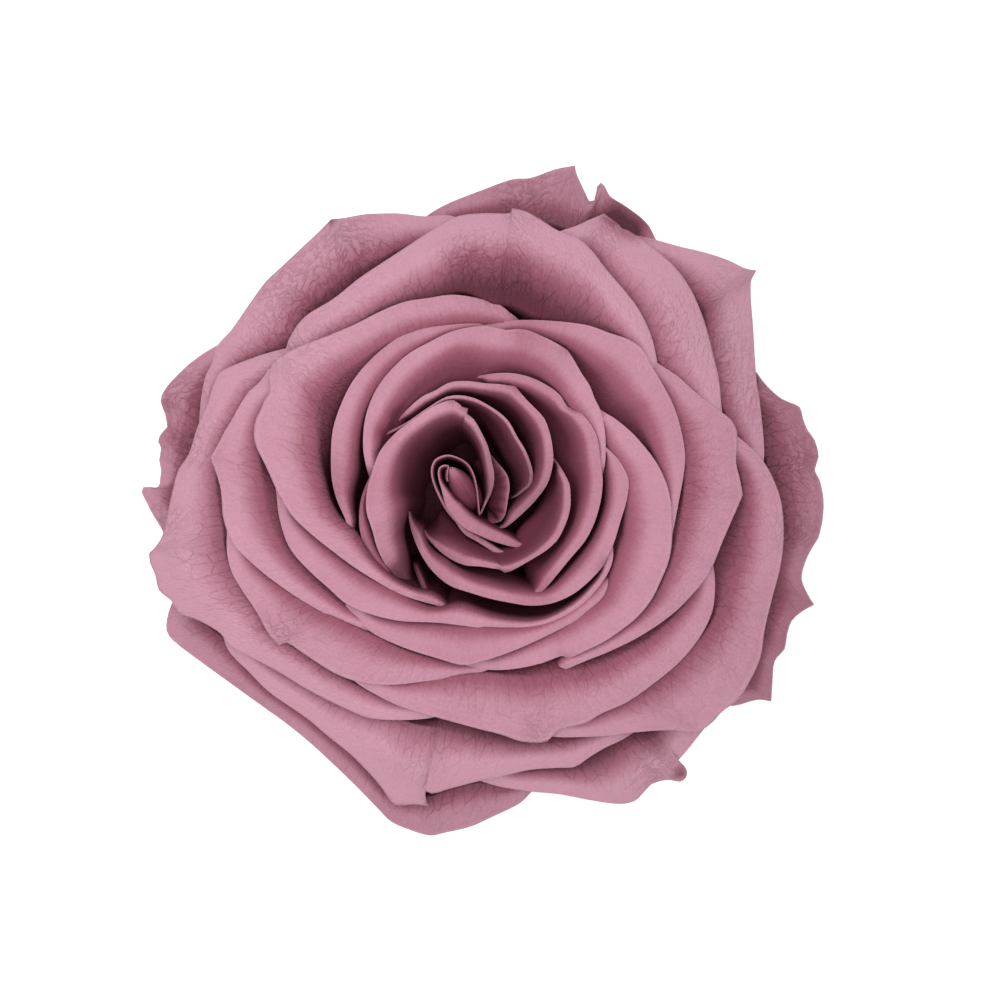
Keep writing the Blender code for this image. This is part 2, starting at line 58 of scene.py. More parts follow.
# The petals of each ring, from the heart outwards. Each row holds the petal's name, the share of its
# showing band that its lip turns over, the share of the gap behind the lip that its wall leans over and the
# height of its rim above the dome, all three at even steps along its rim, how many millimetres of its rim
# lie under other petals at its start and end, and its rim against the clock. A third value of 1 marks a
# pointed tip.
HEART = (
    ("heart_1", (0.37, 0.4, 0.22, 0.22, 0.3, 0.34, 0.42, 0.46, 0.6, 0.6, 0.6),
     (0.1, 0.1, 0.15, 0.5, 0.5, 0.3, 0.3, 0.3), (-0.8, -0.4, -0.3, -0.3, -0.4, -0.5, -0.6, -2.5, -11),
     (0, 0), (
        (-0.1, -1.4), (0.4, -0.4), (0.9, 0.6), (1.2, 1.7), (1.2, 2.8), (0.9, 4.1), (0.6, 5.3), (0, 6.6),
        (-0.8, 8), (-1.5, 8.6), (-1.4, 9.1, 1), (-2, 9.25), (-2.2, 9.5), (-2.8, 9.9, 1), (-3.5, 9.85),
        (-5, 9.2), (-6.8, 8), (-8.3, 6.9), (-9.5, 5.7), (-10.3, 4.5), (-11, 2.5), (-11.4, 1), (-11.5, -1),
        (-10.9, -3), (-10.4, -4.8), (-9.6, -6.4), (-8.6, -7.7), (-7.2, -8.9), (-5.6, -10))),
    ("heart_7", (0.3, 0.36, 0.3, 0.2), (0.3,), (-8, -5.5, -4.5, -4), (0, 0), (
        (-6.85, -6.4), (-6.5, -7.4), (-6.06, -8.5), (-5.5, -9.6), (-4.7, -10.5), (-3.6, -11.2))),
    ("heart_2", (0.1, 0.1, 0.1, 0.1, 0.4, 0.4, 0.3), (0.45, 0.55, 0.45, 0.4, 0.9),
     (-6, -1.8, -1.2, -1, -2.2), (0, 0.5), (
        (2.7, 0.1), (3.5, 0.4), (4.3, 1), (4.9, 1.5), (5.1, 2.6), (4.8, 3.8), (4.3, 5), (3.5, 6.3),
        (2.8, 7.6), (2.2, 8.3), (1.3, 9), (0.3, 9.6), (-0.7, 10.1), (-2.2, 10.4), (-3.5, 10.25),
        (-4.6, 9.65), (-6.1, 8.65), (-7.4, 7.75), (-8.6, 7.1), (-9.6, 6.6), (-10, 6.2), (-10, 5.6))),
    ("heart_3", (0.7, 0.55, 0.52, 0.34, 0.34, 0.42, 0.5, 0.6, 0.5), (0.4, 0.6, 0.5, 0.5, 0.9),
     (-5, -0.5, -0.6, -2.4), (0, 0.5), (
        (1.6, -2.9), (2.4, -2.7), (3.3, -2), (4.5, -0.9), (5.6, 0.3), (6.5, 1.6), (6.9, 2.8), (7.1, 4),
        (7, 5.4), (6.7, 6.8), (6.2, 8.1), (5.4, 9), (4.4, 10), (3.3, 11.3, 1), (1.8, 11.5), (0.3, 11.6),
        (-1.2, 11.8), (-2.5, 11.8), (-3.4, 11.6), (-4.6, 10.9), (-5.9, 10.3), (-7, 9.4), (-7.8, 8.6),
        (-8.5, 7.9), (-9, 7.1))),
    ("heart_4", (0.06, 0.34, 0.36, 0.2, 0.18, 0.3, 0.4), (0.8, 0.8, 0.7, 0.55, 0.5),
     (-6.5, -1.8, -1.2, -1, -2.5), (0, 2), (
        (-5.8, -3.1), (-5.4, -3.8), (-4.6, -4.7), (-3.7, -5.5), (-2.7, -6.1), (-1.6, -6.5), (-0.2, -6.6),
        (1.1, -6.8), (1.8, -6.9), (2.3, -7.2, 1), (3, -7), (4.1, -6.4), (5.3, -5.7), (6.4, -5), (7.4, -4.1),
        (8, -3.1), (8.5, -1.9), (8.8, -0.6), (8.8, 0.6), (8.7, 1.6), (8.2, 2.6), (7.6, 3.6), (6.8, 4.5))),
    ("heart_5", (0.1, 0.5, 0.75, 0.55, 0.45, 0.7, 0.7, 0.7, 0.7, 0.8, 0.7),
     (0.1, 0.4, 0.75, 0.7, 0.7, 0.7, 0.7), (-6.5, -1.6, -0.8, -0.6, -1), (0, 1), (
        (-7.3, -1.2), (-7.2, -2.2), (-6.9, -3.4), (-6.4, -4.7), (-5.7, -6), (-4.7, -7.3), (-3.2, -8.5),
        (-1.2, -9.2), (0.8, -9.8), (2.8, -10.2), (4.8, -10.5), (6.8, -10.3), (8.8, -9.5), (10.3, -8.4),
        (11.4, -7.3), (12.1, -6.5, 1), (12.5, -5.6), (13.1, -4.3), (13.8, -2), (14.4, 0), (14.6, 2),
        (14.2, 3), (13.6, 4), (12.5, 5.1), (11.4, 6))),
    ("heart_6", (0.3, 0.4, 0.55, 0.55, 0.38, 0.32, 0.34, 0.55, 0.9, 0.8), (0.8, 0.8, 0.9, 1),
     (-1.5, -0.3, -1.2), (1, 3), (
        (4.6, -10.1), (5.4, -9.5), (6.3, -8.8), (7.4, -7.5), (8.8, -5.8), (10.3, -4), (11.2, -2.2),
        (11.8, -0.1), (12, 2), (11.8, 3.7), (11.5, 6), (10.9, 7.4), (9.9, 8.6), (9.1, 9, 1), (8.5, 9.3),
        (7.7, 10.5), (6.3, 11.5), (4.8, 12.2), (3.1, 12.6), (1.5, 12.6), (-0.4, 12.3), (-2, 11.8))),
    ("heart_8", (0.12, 0.6, 0.9, 0.9, 0.9), (0.8,), (-2.2, -2, -2.4), (0.5, 0.5), (
        (-10.6, 3.2), (-11.3, 2), (-11.8, 0.8), (-12.1, -0.4), (-12.2, -2.3), (-11.9, -4), (-11.2, -5.6),
        (-10, -7), (-8.8, -8.1))),
)
INNER = (
    ("inner_1", (0.8, 1, 0.8, 0.65, 0.38, 0.55, 0.7, 0.75), (1,), (-1, 0.2, -1.5), (1, 1.5), (
        (11.9, 2.2), (12.2, 3.4), (12.3, 5), (12.2, 7), (11.8, 8.9), (11.2, 10.1), (10.7, 11.4),
        (9.9, 12.6), (9.1, 14), (8.5, 14.9, 1), (7.7, 15.4), (6.8, 15.9), (5.7, 16.4), (4.8, 16.8),
        (3.6, 17), (2.4, 16.9), (0.5, 17.3), (-1.6, 17.1), (-3.4, 16.6), (-5.2, 15.7), (-7.2, 14.6),
        (-8.7, 13.3), (-10.2, 11.5), (-11.2, 9.5), (-11.7, 7.5), (-11.8, 5.2), (-11.5, 3.4), (-11, 1.8))),
    ("inner_2", (0.6, 1, 0.85, 0.8, 0.75, 0.55, 0.5), (1, 1, 1, 0.8, 0.25, 0.1), (-1, 0, -1.5), (4.5, 3), (
        (3.6, 15.6), (2.3, 17), (1, 17.7), (-0.7, 17.8), (-2.3, 17.8), (-3.8, 17.7), (-5.2, 17.3),
        (-6.9, 16.7), (-8.4, 16.1), (-10.7, 14.3), (-12.7, 12), (-14, 9.5), (-14.8, 7), (-15, 4.5),
        (-14.9, 2), (-14.4, 0), (-13.7, -1.6), (-13, -3.3), (-12, -4.9))),
    ("inner_3", (0.75, 1, 0.8, 0.52, 0.6, 0.72, 1, 0.6), (1,), (-1, 0, -1), (2.5, 2), (
        (18, -6.6), (18.8, -4), (19.6, 0), (20.1, 2.8), (20.2, 4.5), (19.8, 7), (19, 9.5), (17.8, 11.8),
        (16.8, 13.5), (16, 15), (14.5, 16), (12.7, 16.6), (10.8, 17.3), (9.1, 17.6), (7.1, 17.8),
        (4.8, 17.9), (2.6, 17.8), (0.2, 17.4), (-1.8, 16.2))),
    ("inner_4", (0.9, 0.95, 0.92, 0.95, 0.75, 0.42, 0.22, 0.5, 0.7),
     (1, 1, 1, 0.9, 0.35, 0.25, 0.25, 0.4, 0.7), (-1.5, 0, -1.5), (2.5, 2), (
        (-21, 3), (-20.5, 1), (-20.2, -1.5), (-19.5, -4), (-18.7, -5.4), (-16.9, -7.3), (-15.2, -8.8),
        (-13.5, -10.3), (-11.2, -11.3), (-8.2, -12), (-4.2, -12.2), (-0.2, -12.7), (2.8, -12.9),
        (5.3, -12.7), (7.8, -11.7), (9.8, -10.5), (11.3, -9), (12.4, -7.5), (13, -6), (13, -4.5),
        (12.6, -2.6))),
    ("inner_5", (1, 0.93, 0.98, 1, 1, 1, 0.75), (1,), (-1.2, 0, -1.5), (2, 3), (
        (-14.6, -9), (-13.5, -10.6), (-11.2, -13), (-8.2, -14.5), (-4.2, -15.8), (-1.9, -16.4),
        (-0.2, -16.1), (2.8, -15.1), (5.8, -13.8), (9.3, -12), (11, -10.8), (12.4, -9.6), (13.1, -8.3),
        (13.8, -5.6))),
    ("inner_6", (1, 0.97, 1, 1, 0.86, 0.8, 1, 0.95, 1), (1,), (-1.2, 0, -1), (2, 2.5), (
        (-4.2, -15.2), (-1.9, -16.5), (-0.2, -16.8), (1.8, -16.9), (3.8, -16.7), (6, -16.2), (7.3, -15.7),
        (8, -15.5), (8.6, -15.8, 1), (10.3, -15), (12.3, -14), (14.3, -12.6), (15.5, -11.6), (16.8, -10),
        (17.8, -8), (18.6, -6), (18.9, -4), (18.9, -2), (18.8, -0.2), (18.3, 1.8), (17.3, 3.8), (16, 5.5),
        (14.8, 6.8), (13.2, 8.1), (11.9, 8.9), (10.6, 10.2))),
)
MIDDLE = (
    ("middle_1", (0.8, 1, 0.97, 0.86, 0.7, 0.62, 0.76, 0.82, 0.8, 0.93, 0.9, 0.5),
     (1, 1, 1, 1, 0.9, 0.8, 0.4, 0.2, 0.2, 0.2), (-0.8, 0.4, 0.2, -1.2), (4, 1), (
        (5, 16), (3.8, 17.8), (2.8, 18.6), (1.8, 19.4), (-0.2, 20), (-1.7, 20.3), (-3.2, 20.4),
        (-5.2, 20.1), (-7.7, 19.7), (-10.2, 18.7), (-13, 17.3), (-16.2, 16), (-18.2, 15.3), (-20.2, 14.2),
        (-21, 13.5, 1), (-21.2, 12.2), (-21.1, 10.8), (-21.7, 9.8), (-22, 9), (-22.5, 8), (-22.7, 6.4),
        (-22.4, 5.2), (-21.8, 4), (-21.3, 3), (-20.3, 0.8), (-18.9, -1.5), (-17.4, -3), (-15.2, -4.8),
        (-12.2, -7), (-8.2, -9.3), (-5.2, -10.3), (-3, -10.8))),
    ("middle_2", (0.75, 1, 0.8, 0.86, 0.82, 0.9, 1, 1, 1), (1,), (-1.2, 0, -1), (2.5, 3), (
        (5.9, -17), (7.8, -17), (10.3, -16), (12.8, -15), (15.8, -13.5), (19, -11.3), (21.3, -9),
        (22.3, -7.7), (23.1, -6.3, 1), (24, -4), (25.1, -1.5), (26, 0.5, 1), (25.7, 2), (25.3, 3.8),
        (25.4, 5.6), (25.4, 6.8), (24.8, 8), (23.8, 8.8), (21.5, 10.5), (19.5, 12.3), (17.3, 13.8),
        (16, 15.4))),
    ("middle_3", (0.65, 1, 0.9, 0.66, 0.77, 0.66, 0.68, 0.9), (1,), (-1, 0, -1.2), (3, 2.5), (
        (-19.2, 15), (-20.7, 13.9), (-22, 11.9), (-23.2, 10.8), (-24.2, 9.3), (-24.9, 8), (-25.6, 6.9),
        (-26.2, 5.7), (-27.1, 4.2, 1), (-26.7, 3.3), (-26.1, 1.5), (-25.9, 0), (-25.8, -1.5), (-25.4, -3),
        (-24.7, -4.5), (-23.2, -6), (-21.2, -7.7), (-18.2, -9.8), (-15.2, -11.5), (-12.2, -12.8),
        (-11, -13.2), (-9, -14))),
    ("middle_4", (0.73, 0.93, 0.94, 0.97, 0.92, 0.85, 0.8, 0.8), (1,), (-1, 0, -1.2), (2.5, 2), (
        (-25.5, -0.6), (-25.4, -2.8), (-25.4, -5.2), (-25, -7), (-24.2, -8.5), (-22.4, -11.2),
        (-21.2, -13.4), (-20.2, -14.5, 1), (-19.4, -14.2), (-17.7, -15.3), (-14.7, -17.2), (-12.2, -18.1),
        (-9.4, -18.4), (-6.2, -18.1), (-2.7, -17.6), (0.3, -17), (2.4, -16))),
    ("middle_5", (0.88, 0.94, 1, 0.86, 0.75, 0.75, 0.73, 0.86, 0.93), (1,), (-1, 0, -1.2), (2.5, 3), (
        (-14.4, -16.4), (-12.7, -18), (-11.2, -19), (-8.2, -20.5), (-4.2, -21.7), (-0.2, -22.8),
        (1.8, -23.3), (3.8, -24), (5.5, -24.2, 1), (6.5, -24), (7, -23.5), (7.8, -22.8), (10.3, -22.2),
        (11.8, -21.3), (14.3, -20.2), (16.8, -18.5), (19.8, -16), (21.8, -13.5), (22.9, -11.2), (23.2, -9),
        (23.1, -7), (22.6, -4.8))),
    ("middle_6", (0.9, 0.97, 0.98, 1, 1, 0.82, 0.6, 0.7, 0.84, 1), (1,), (-1, -0.2, -1.2), (2.5, 2.5), (
        (5.1, -22.6), (6.8, -23.5), (9.8, -23.6), (12.3, -23.5), (14.8, -23.2), (17.3, -23), (19.3, -23),
        (21.5, -23.3, 1), (23, -22.2), (24, -21.1), (25.5, -20), (26.8, -18), (27.8, -15.7), (28.2, -13),
        (28.9, -10), (29.8, -6.5), (30.1, -3.5), (29.9, -0.5), (29.3, 1.5), (28.3, 3.5), (27, 5),
        (25.5, 6.3), (24, 7.6))),
)
OUTER = (
    ("outer_1", (0.78, 0.88, 0.56, 0.55, 0.57, 0.68, 0.78, 0.97, 0.9), (1, 1, 1, 1.1, 1.15, 1, 1, 1, 1),
     (-1, 0.4, -1), (3, 3), (
        (18, 11), (17.6, 12.8), (17.3, 14.5), (16.8, 16.5), (15.6, 19), (14, 21.1), (12.3, 23.1),
        (11, 24.8), (9.6, 26.1), (7.5, 26.9), (5.8, 28), (4.3, 28.8), (3, 29.1, 1), (2.8, 28.6),
        (0.8, 28.6), (-1.2, 28.5), (-2.7, 28.2), (-4.2, 27.4), (-6.5, 25.9), (-9.2, 24.1), (-12.2, 22.1),
        (-14.7, 20.1), (-17.8, 18.1), (-19.3, 15.8), (-19.7, 13.8))),
    ("outer_2", (1, 1, 0.92, 1, 1, 0.8), (1,), (-1.5, -0.8, -1.2), (2, 2.5), (
        (24.3, 6.6), (23.9, 9), (23.6, 12), (23.1, 14.2), (22.4, 17.1), (21.7, 19.1), (20.9, 20.9),
        (19.4, 23.1), (17.8, 24.6), (15.8, 26.1), (14.6, 26.9), (14, 27.1, 1), (13.4, 27.7),
        (12.2, 28.6, 1), (10.8, 28), (9.3, 27.3), (7.8, 26.8), (6, 25.7))),
    ("outer_3", (0.8, 0.92, 0.8, 0.75, 0.8, 1, 1), (1,), (-2.1, -1.7, -2.1), (2, 2.5), (
        (0, 26.7), (-1.8, 27.7), (-3.2, 28.4), (-5.7, 28.3), (-8.2, 28.6), (-10.2, 28.6), (-12, 28.5),
        (-13.6, 28.2), (-15.1, 28.05, 1), (-16.4, 26.7), (-18.2, 25), (-20, 23.3), (-21.5, 21.9),
        (-23.2, 19.6), (-25, 17), (-26.5, 15.3), (-26.9, 13.8), (-27.7, 12), (-28.2, 8), (-27.9, 5.6))),
    ("outer_4", (0.75, 1, 1, 0.88, 1, 1), (1, 1.05, 1.25, 1.1, 1, 1), (-2.5, -2.1, -2.3), (2.5, 2.5), (
        (27.4, 1.6), (28.1, 3.8), (28.1, 6), (27.7, 10), (27.4, 12), (27.1, 17.1), (26.9, 21.7),
        (27.5, 23, 1), (26.3, 23.2), (25.1, 23.8), (23.5, 24.4), (21.7, 24.9), (19.9, 25.3), (17.3, 26),
        (15, 26.5), (12.6, 26.8))),
    ("outer_5", (0.9, 1, 1, 0.85, 0.94, 1, 1, 0.84, 0.88, 1), (1,), (-1.2, -1, -1.6), (2.5, 2.5), (
        (-17.7, 15.4), (-19.5, 15.1), (-21.5, 14.6), (-23.3, 14), (-25.3, 13.2), (-26.2, 12.7),
        (-26.8, 11.4), (-27.5, 9.2), (-28.3, 7.5), (-29.3, 4.5), (-30.3, 3), (-31.1, 0), (-31.8, -3.2),
        (-32.5, -4.5), (-33.3, -5.3, 1), (-33.2, -6.3), (-32.7, -7.4), (-32.3, -9), (-31.5, -9.7),
        (-31, -10.1), (-30.4, -11.2), (-28.3, -12), (-26.1, -13.3), (-25.1, -14.6), (-23.3, -15.5),
        (-20.3, -17.1), (-17.3, -18.9), (-13.7, -20.7), (-11.2, -21.7), (-8.2, -21.9), (-5.2, -21.7),
        (-2.6, -21))),
    ("outer_6", (1, 1, 1, 1, 0.92, 0.77, 0.65, 0.78, 1), (1,), (-2.6, -2.2, -2.4), (2.5, 2.5), (
        (-26.2, -12.4), (-25.3, -15), (-23.3, -17.1), (-21.3, -19.1), (-19.3, -20.5), (-17.3, -21.9),
        (-15.3, -23.6), (-13.2, -25.3), (-11.2, -27.3), (-9.9, -28.9), (-9, -30.2), (-8.4, -30.5),
        (-6.8, -30.4), (-5.4, -30.6, 1), (-6, -29.7), (-6.1, -28.9), (-5, -29.3), (-3.2, -28.8),
        (-0.2, -28), (1.8, -27.6), (4.8, -26.9), (7.8, -26.7), (9.3, -26.6), (10.8, -25.6), (12.3, -24.7),
        (14, -23.9), (15.8, -22.7))),
    ("outer_7", (0.75, 0.8, 0.65, 0.72, 0.84, 1), (1,), (-3.4, -3, -3.2), (2.5, 2.5), (
        (-2.2, -27.1), (-0.2, -28), (1.8, -28.6), (4.8, -29.1), (7.8, -29.4), (10.8, -30), (13.8, -30.4),
        (15.3, -30.1), (16.3, -29.1), (17, -28.4), (17.9, -28.1, 1), (18.8, -28), (19.8, -28.2),
        (20.4, -27.8), (20.5, -27.1), (20, -26.5), (19.4, -26.3, 1), (20.6, -24.9), (22.1, -23),
        (23.8, -21), (25.3, -19.4))),
)
GUARD = (
    ("guard_1", (0.97,), (1.1, 1.1, 1.35, 1.2, 1.1), (-3.9, -3.5, -4.2), (2, 2.5), (
        (18.3, 24.3), (17.3, 26.2), (16.7, 27.4), (15.6, 28.5), (13.9, 29.7), (12.8, 30.4), (12.3, 31.4),
        (11.9, 31.8, 1), (11.5, 31.3), (12, 31), (11.7, 30.1), (10.7, 29.9, 1), (10.1, 31.2), (9.5, 32.6),
        (9.3, 33.5, 1), (7.3, 33.1), (4.8, 32.2), (3.1, 32.1), (-0.2, 30.9), (-3.2, 29.7), (-5.2, 28.6),
        (-7.1, 27))),
    ("guard_2", (0.97,), (1.1,), (-4.8, -4.4, -4.8), (2.5, 2.5), (
        (23.5, -20.1), (25.1, -20.6), (26.4, -20.3), (27.7, -20), (29, -20.2, 1), (29.1, -18.1),
        (29.3, -16.1), (30.3, -14.9), (30.5, -13.6), (31, -12.1), (32, -11.2), (33.3, -10.5, 1),
        (32.6, -9.4), (32, -8), (32.1, -7), (32.7, -5.4), (33.7, -3.8, 1), (34.1, -2), (34.2, 0), (33.8, 2),
        (33.3, 3), (33.7, 4.3), (33.3, 6), (32.6, 7), (32.1, 8.2), (31.8, 9.3), (30, 10.1), (28.4, 11.5),
        (27.2, 13.1))),
    ("guard_3", (0.97,), (1.15,), (-4.8, -4.4, -4.8), (2.5, 2.5), (
        (-30.6, -9.5), (-31.4, -11.3), (-31.6, -13.1), (-30.9, -14.1), (-28.4, -16), (-23.5, -19.5),
        (-18.3, -23.3), (-13.3, -27.9), (-10.3, -31), (-9.1, -32.2), (-7.3, -33), (-5.2, -33.6),
        (-3.7, -33.3), (-1.2, -32.7), (0.8, -31.8), (3.8, -30.3), (5, -29.1), (6.6, -27.6))),
    ("guard_4", (0.97,), (1.1,), (-4.8, -4.4, -4.8), (2, 2.5), (
        (-24, 16.5), (-26.2, 15.6), (-28.4, 14.3), (-30.4, 12.6), (-31.8, 11), (-32.2, 9.9), (-31.7, 8.6),
        (-31.5, 7.3, 1), (-32.2, 6.5), (-32.4, 5.8), (-32.1, 5.2), (-32.3, 4), (-32.1, 3), (-32.2, 2.2),
        (-32.4, 1.3), (-33.9, 1.3, 1), (-34.1, 0.8), (-33.6, -0.2), (-33.1, -1.2), (-31.9, -3.2),
        (-31.2, -5.2))),
)
# The petals of the bud: the steps down from the crest as distance inwards and drop, the number and depth of
# the pleats along the wall, and the rim as x, y, the width of the lip and the height, all in millimetres.
BUD = (
    ("bud_fold", ((0.14, -0.5), (0.26, -2), (0.4, -5), (0.5, -12)), (0, 0), (
        (-3.32, 1.86, 0, 43.6), (-3.42, 2.3, 0, 44), (-3.36, 2.9, 0, 44.4), (-3.26, 3.39, 0.02, 44.6),
        (-3.82, 3.49, 0.05, 44.6), (-4.26, 3.22, 0.06, 44.5), (-4.38, 2.62, 0.06, 44.3),
        (-4.26, 1.86, 0.08, 44.1), (-4.07, 1.24, 0.25, 43.9), (-3.88, 0.49, 0.6, 43.7),
        (-3.63, -0.39, 0.95, 43.5), (-3.32, -1.02, 1.2, 43.3), (-2.57, -2.02, 1.3, 43),
        (-1.56, -2.9, 1.3, 42.7), (-0.56, -3.4, 1.2, 42.4), (0.57, -3.9, 1.1, 42.1),
        (1.32, -4.18, 1.05, 42.2), (2.57, -4.55, 0.85, 42.2), (3.57, -4.74, 0.5, 42.2),
        (4.7, -4.84, 0.05, 42.2))),
    ("bud_wrap", ((0.12, -0.5), (0.24, -2), (0.3, -5), (0.3, -12)), (0, 0), (
        (-0.18, -1.52, 0, 41.2), (-0.31, -0.27, 0, 42.2), (-0.44, 0.99, 0, 43), (-0.69, 2.24, 0, 43.6),
        (-1.06, 3.12, 0, 43.9), (-1.56, 3.74, 0, 44.1), (-2.44, 4.25, 0, 44.2), (-3.32, 4.5, 0.05, 44.2),
        (-4.07, 4.37, 0.1, 44.1), (-4.7, 3.99, 0.1, 43.9), (-5.01, 3.37, 0.1, 43.7),
        (-5.07, 2.74, 0.1, 43.5), (-4.95, 1.99, 0.1, 43.2), (-4.7, 1.24, 0.12, 43),
        (-4.32, 0.36, 0.16, 42.8), (-3.82, -0.64, 0.2, 42.5), (-3.32, -1.39, 0.25, 42.3),
        (-2.57, -2.27, 0.3, 42), (-2.06, -3.02, 0.4, 41.8), (-1.56, -3.52, 0.5, 41.6),
        (-0.69, -4.03, 0.5, 41.3), (0.32, -4.65, 0.5, 41.4), (1.32, -5.28, 0.45, 41.6),
        (2.32, -5.65, 0.3, 41.8), (3.07, -6.09, 0.05, 41.9))),
    ("bud_side", ((0.3, -0.15), (0.9, -0.7), (1.7, -2), (2.3, -7)), (7, 0.16), (
        (0.5, -2.3, 0, 37.4), (1.2, -2.3, 0, 38), (1.9, -2.1, 0.05, 38.6), (2.35, -1.4, 0.05, 39),
        (2.5, -0.6, 0.05, 39.4), (2.63, 0.24, 0.05, 39.8), (2.76, 1.36, 0.05, 40.2),
        (2.57, 2.37, 0.05, 40.4), (2.1, 3.1, 0.05, 40.4), (1.4, 3.9, 0, 40), (0.7, 4.8, 0, 39))),
)
# The cone of the rolled bud inside them: its levels as height, middle and radii along and across its lean
BUD_CONE = (
    (44.75, -3.04, 3.12, 0.06, 0.05), (44.7, -3.0, 3.04, 0.2, 0.16), (44.5, -2.86, 2.82, 0.46, 0.34),
    (44.0, -2.58, 2.38, 0.9, 0.62), (43.2, -2.2, 1.8, 1.38, 0.95), (42.0, -1.9, 1.15, 1.85, 1.26),
    (39.5, -1.75, 0.75, 2.1, 1.5), (34.0, -1.7, 0.5, 2.3, 1.6),
)
CONE_LEAN = math.radians(-56.0)
CONE_POINTS = 49
CONE_ROWS = 5
CONE_LENGTH = 8.0
CONE_THICKNESS = 0.08
# Heights of the cone, and how deep in the flower each counts for its painted shade
CONE_HEIGHTS = (36.0, 41.0, 44.0, 44.75)
CONE_DEPTHS = (1.6, 1.15, 0.6, 0.2)

# How a ring's petals are built: the belly's radius as a share of the wall's and what is added to it, the
# wall's drop and its gain for each millimetre of band, the length that a band's width is averaged over, the
# nearest rim that can end a band, how far a petal follows the dome, and how fast its lip grows at its ends
Build = namedtuple("Build", "belly fall reach nearest follows lip_start")
BUILDS = {
    "heart": Build((0.7, 0.0), (2.3, 0.6), 1.8, 0.06, 0.2, 14.0),
    "inner": Build((0.62, 0.0), (0.8, 0.35), 1.6, 0.3, 0.6, 22.0),
    "middle": Build((0.62, 0.0), (0.7, 0.2), 2.4, 0.3, 0.8, 25.0),
    "outer": Build((0.72, 0.6), (0.7, 0.1), 3.0, 0.3, 0.9, 25.0),
    "guard": Build((0.72, 0.6), (0.9, 0.1), 3.0, 0.3, 0.9, 25.0),
}
# The rings whose petals reach down to a foot, and the shares of the rim's turn that a foot and a belly span
WIDE_RINGS = ("outer", "guard")
FOOT_SPREAD = 0.6
BELLY_SPREAD = 0.93
BELLY_RISE = 0.42
SHEER_DROP = 5.0
SMOOTH_INSET = 2.0
SMOOTH_REACH = 2.2
WALL_INSET = 0.2
SMALLEST_WALL = 0.45
WIDEST_BAND = 8.5
BURIED_BAND = 0.85
CREST_INSET = 0.15
CREST_RISE = 0.04

# The profile of a petal from its wall to its rim: the shares of the lip and of the gap behind it that each
# line lies inside the rim, and the shares of the wall's drop, the lip's droop and a tip's drop that it lies
# below the crest
PROFILE = (
    (1.0, 1.0, 1.0, 0.0, 0.0),
    (1.0, 0.45, 0.52, 0.0, 0.0),
    (1.0, 0.12, 0.22, 0.0, 0.0),
    (0.82, 0.0, 0.06, 0.0, 0.05),
    (0.5, 0.0, 0.0, 0.0, 0.15),
    (0.2, 0.0, 0.0, 0.5, 0.45),
    (0.0, 0.0, 0.0, 1.0, 1.0),
)
# The rows from each of those lines to the next, with those from the belly and the foot, and how deep in the
# flower each line is, which sets its painted shade, with the foot and the belly first
PROFILE_ROWS = (6, 5, 5, 5, 5, 5)
BELLY_ROWS = 9
FOOT_ROWS = 7
PROFILE_DEPTHS = (2.4, 1.8, 1.3, 1.0, 0.78, 0.55, 0.25, 0.08, 0.0)
FOOT_HEIGHT = 12.5
FOOT_RADIUS = 4.2
ROOT_HEIGHT = 24.5
CROWN_RADIUS = 9.0
HEART_AXIS = (-3.2, 2.0)
BASE_AXIS = (0.0, 0.0)
HEART_BELLY_LEAN = 0.4
HIDDEN_SINK = 2.2
TIP_DROP = 0.8
TIP_REACH = 1.3
TIP_SHARPNESS = 1.5

# The bud's petals: the step along a rim as a share of the mesh step, the lengths that its lip, height and
# direction are averaged over, and the turn of its pleats towards its end
BUD_STEP = 0.4
BUD_SMOOTH = (0.25, 0.5, 0.35)
PLEAT_TURN = 3.0
# The lines of a bud's lip: the share of it and the distance inside the rim, and the share of its rise
BUD_LIP = ((0.85, 0.04, 1.0), (0.4, 0.02, 0.75), (0.0, 0.0, 0.0))
# The bud's rows between its lines, and how deep in the flower each line is, which sets its painted shade
BUD_ROWS = (8, 8, 6, 4, 4, 4)
BUD_DEPTHS = (2.0, 1.5, 1.0, 0.55, 0.25, 0.1, 0.0)

# The waves of a petal: the scale of the broad ones, how much finer the others are, the broad ones' share,
# and the share of the rows over which they grow
WAVE_SCALE = 0.16
WAVE_FINER = 3.1
WAVE_BROAD = 0.75
WAVE_GROWTH = 0.5

# The millimetres in a unit of the UV maps, and the smallest values that are divided by
UV_LENGTH = 100.0
SMALL = 1e-6
TINY = 1e-9


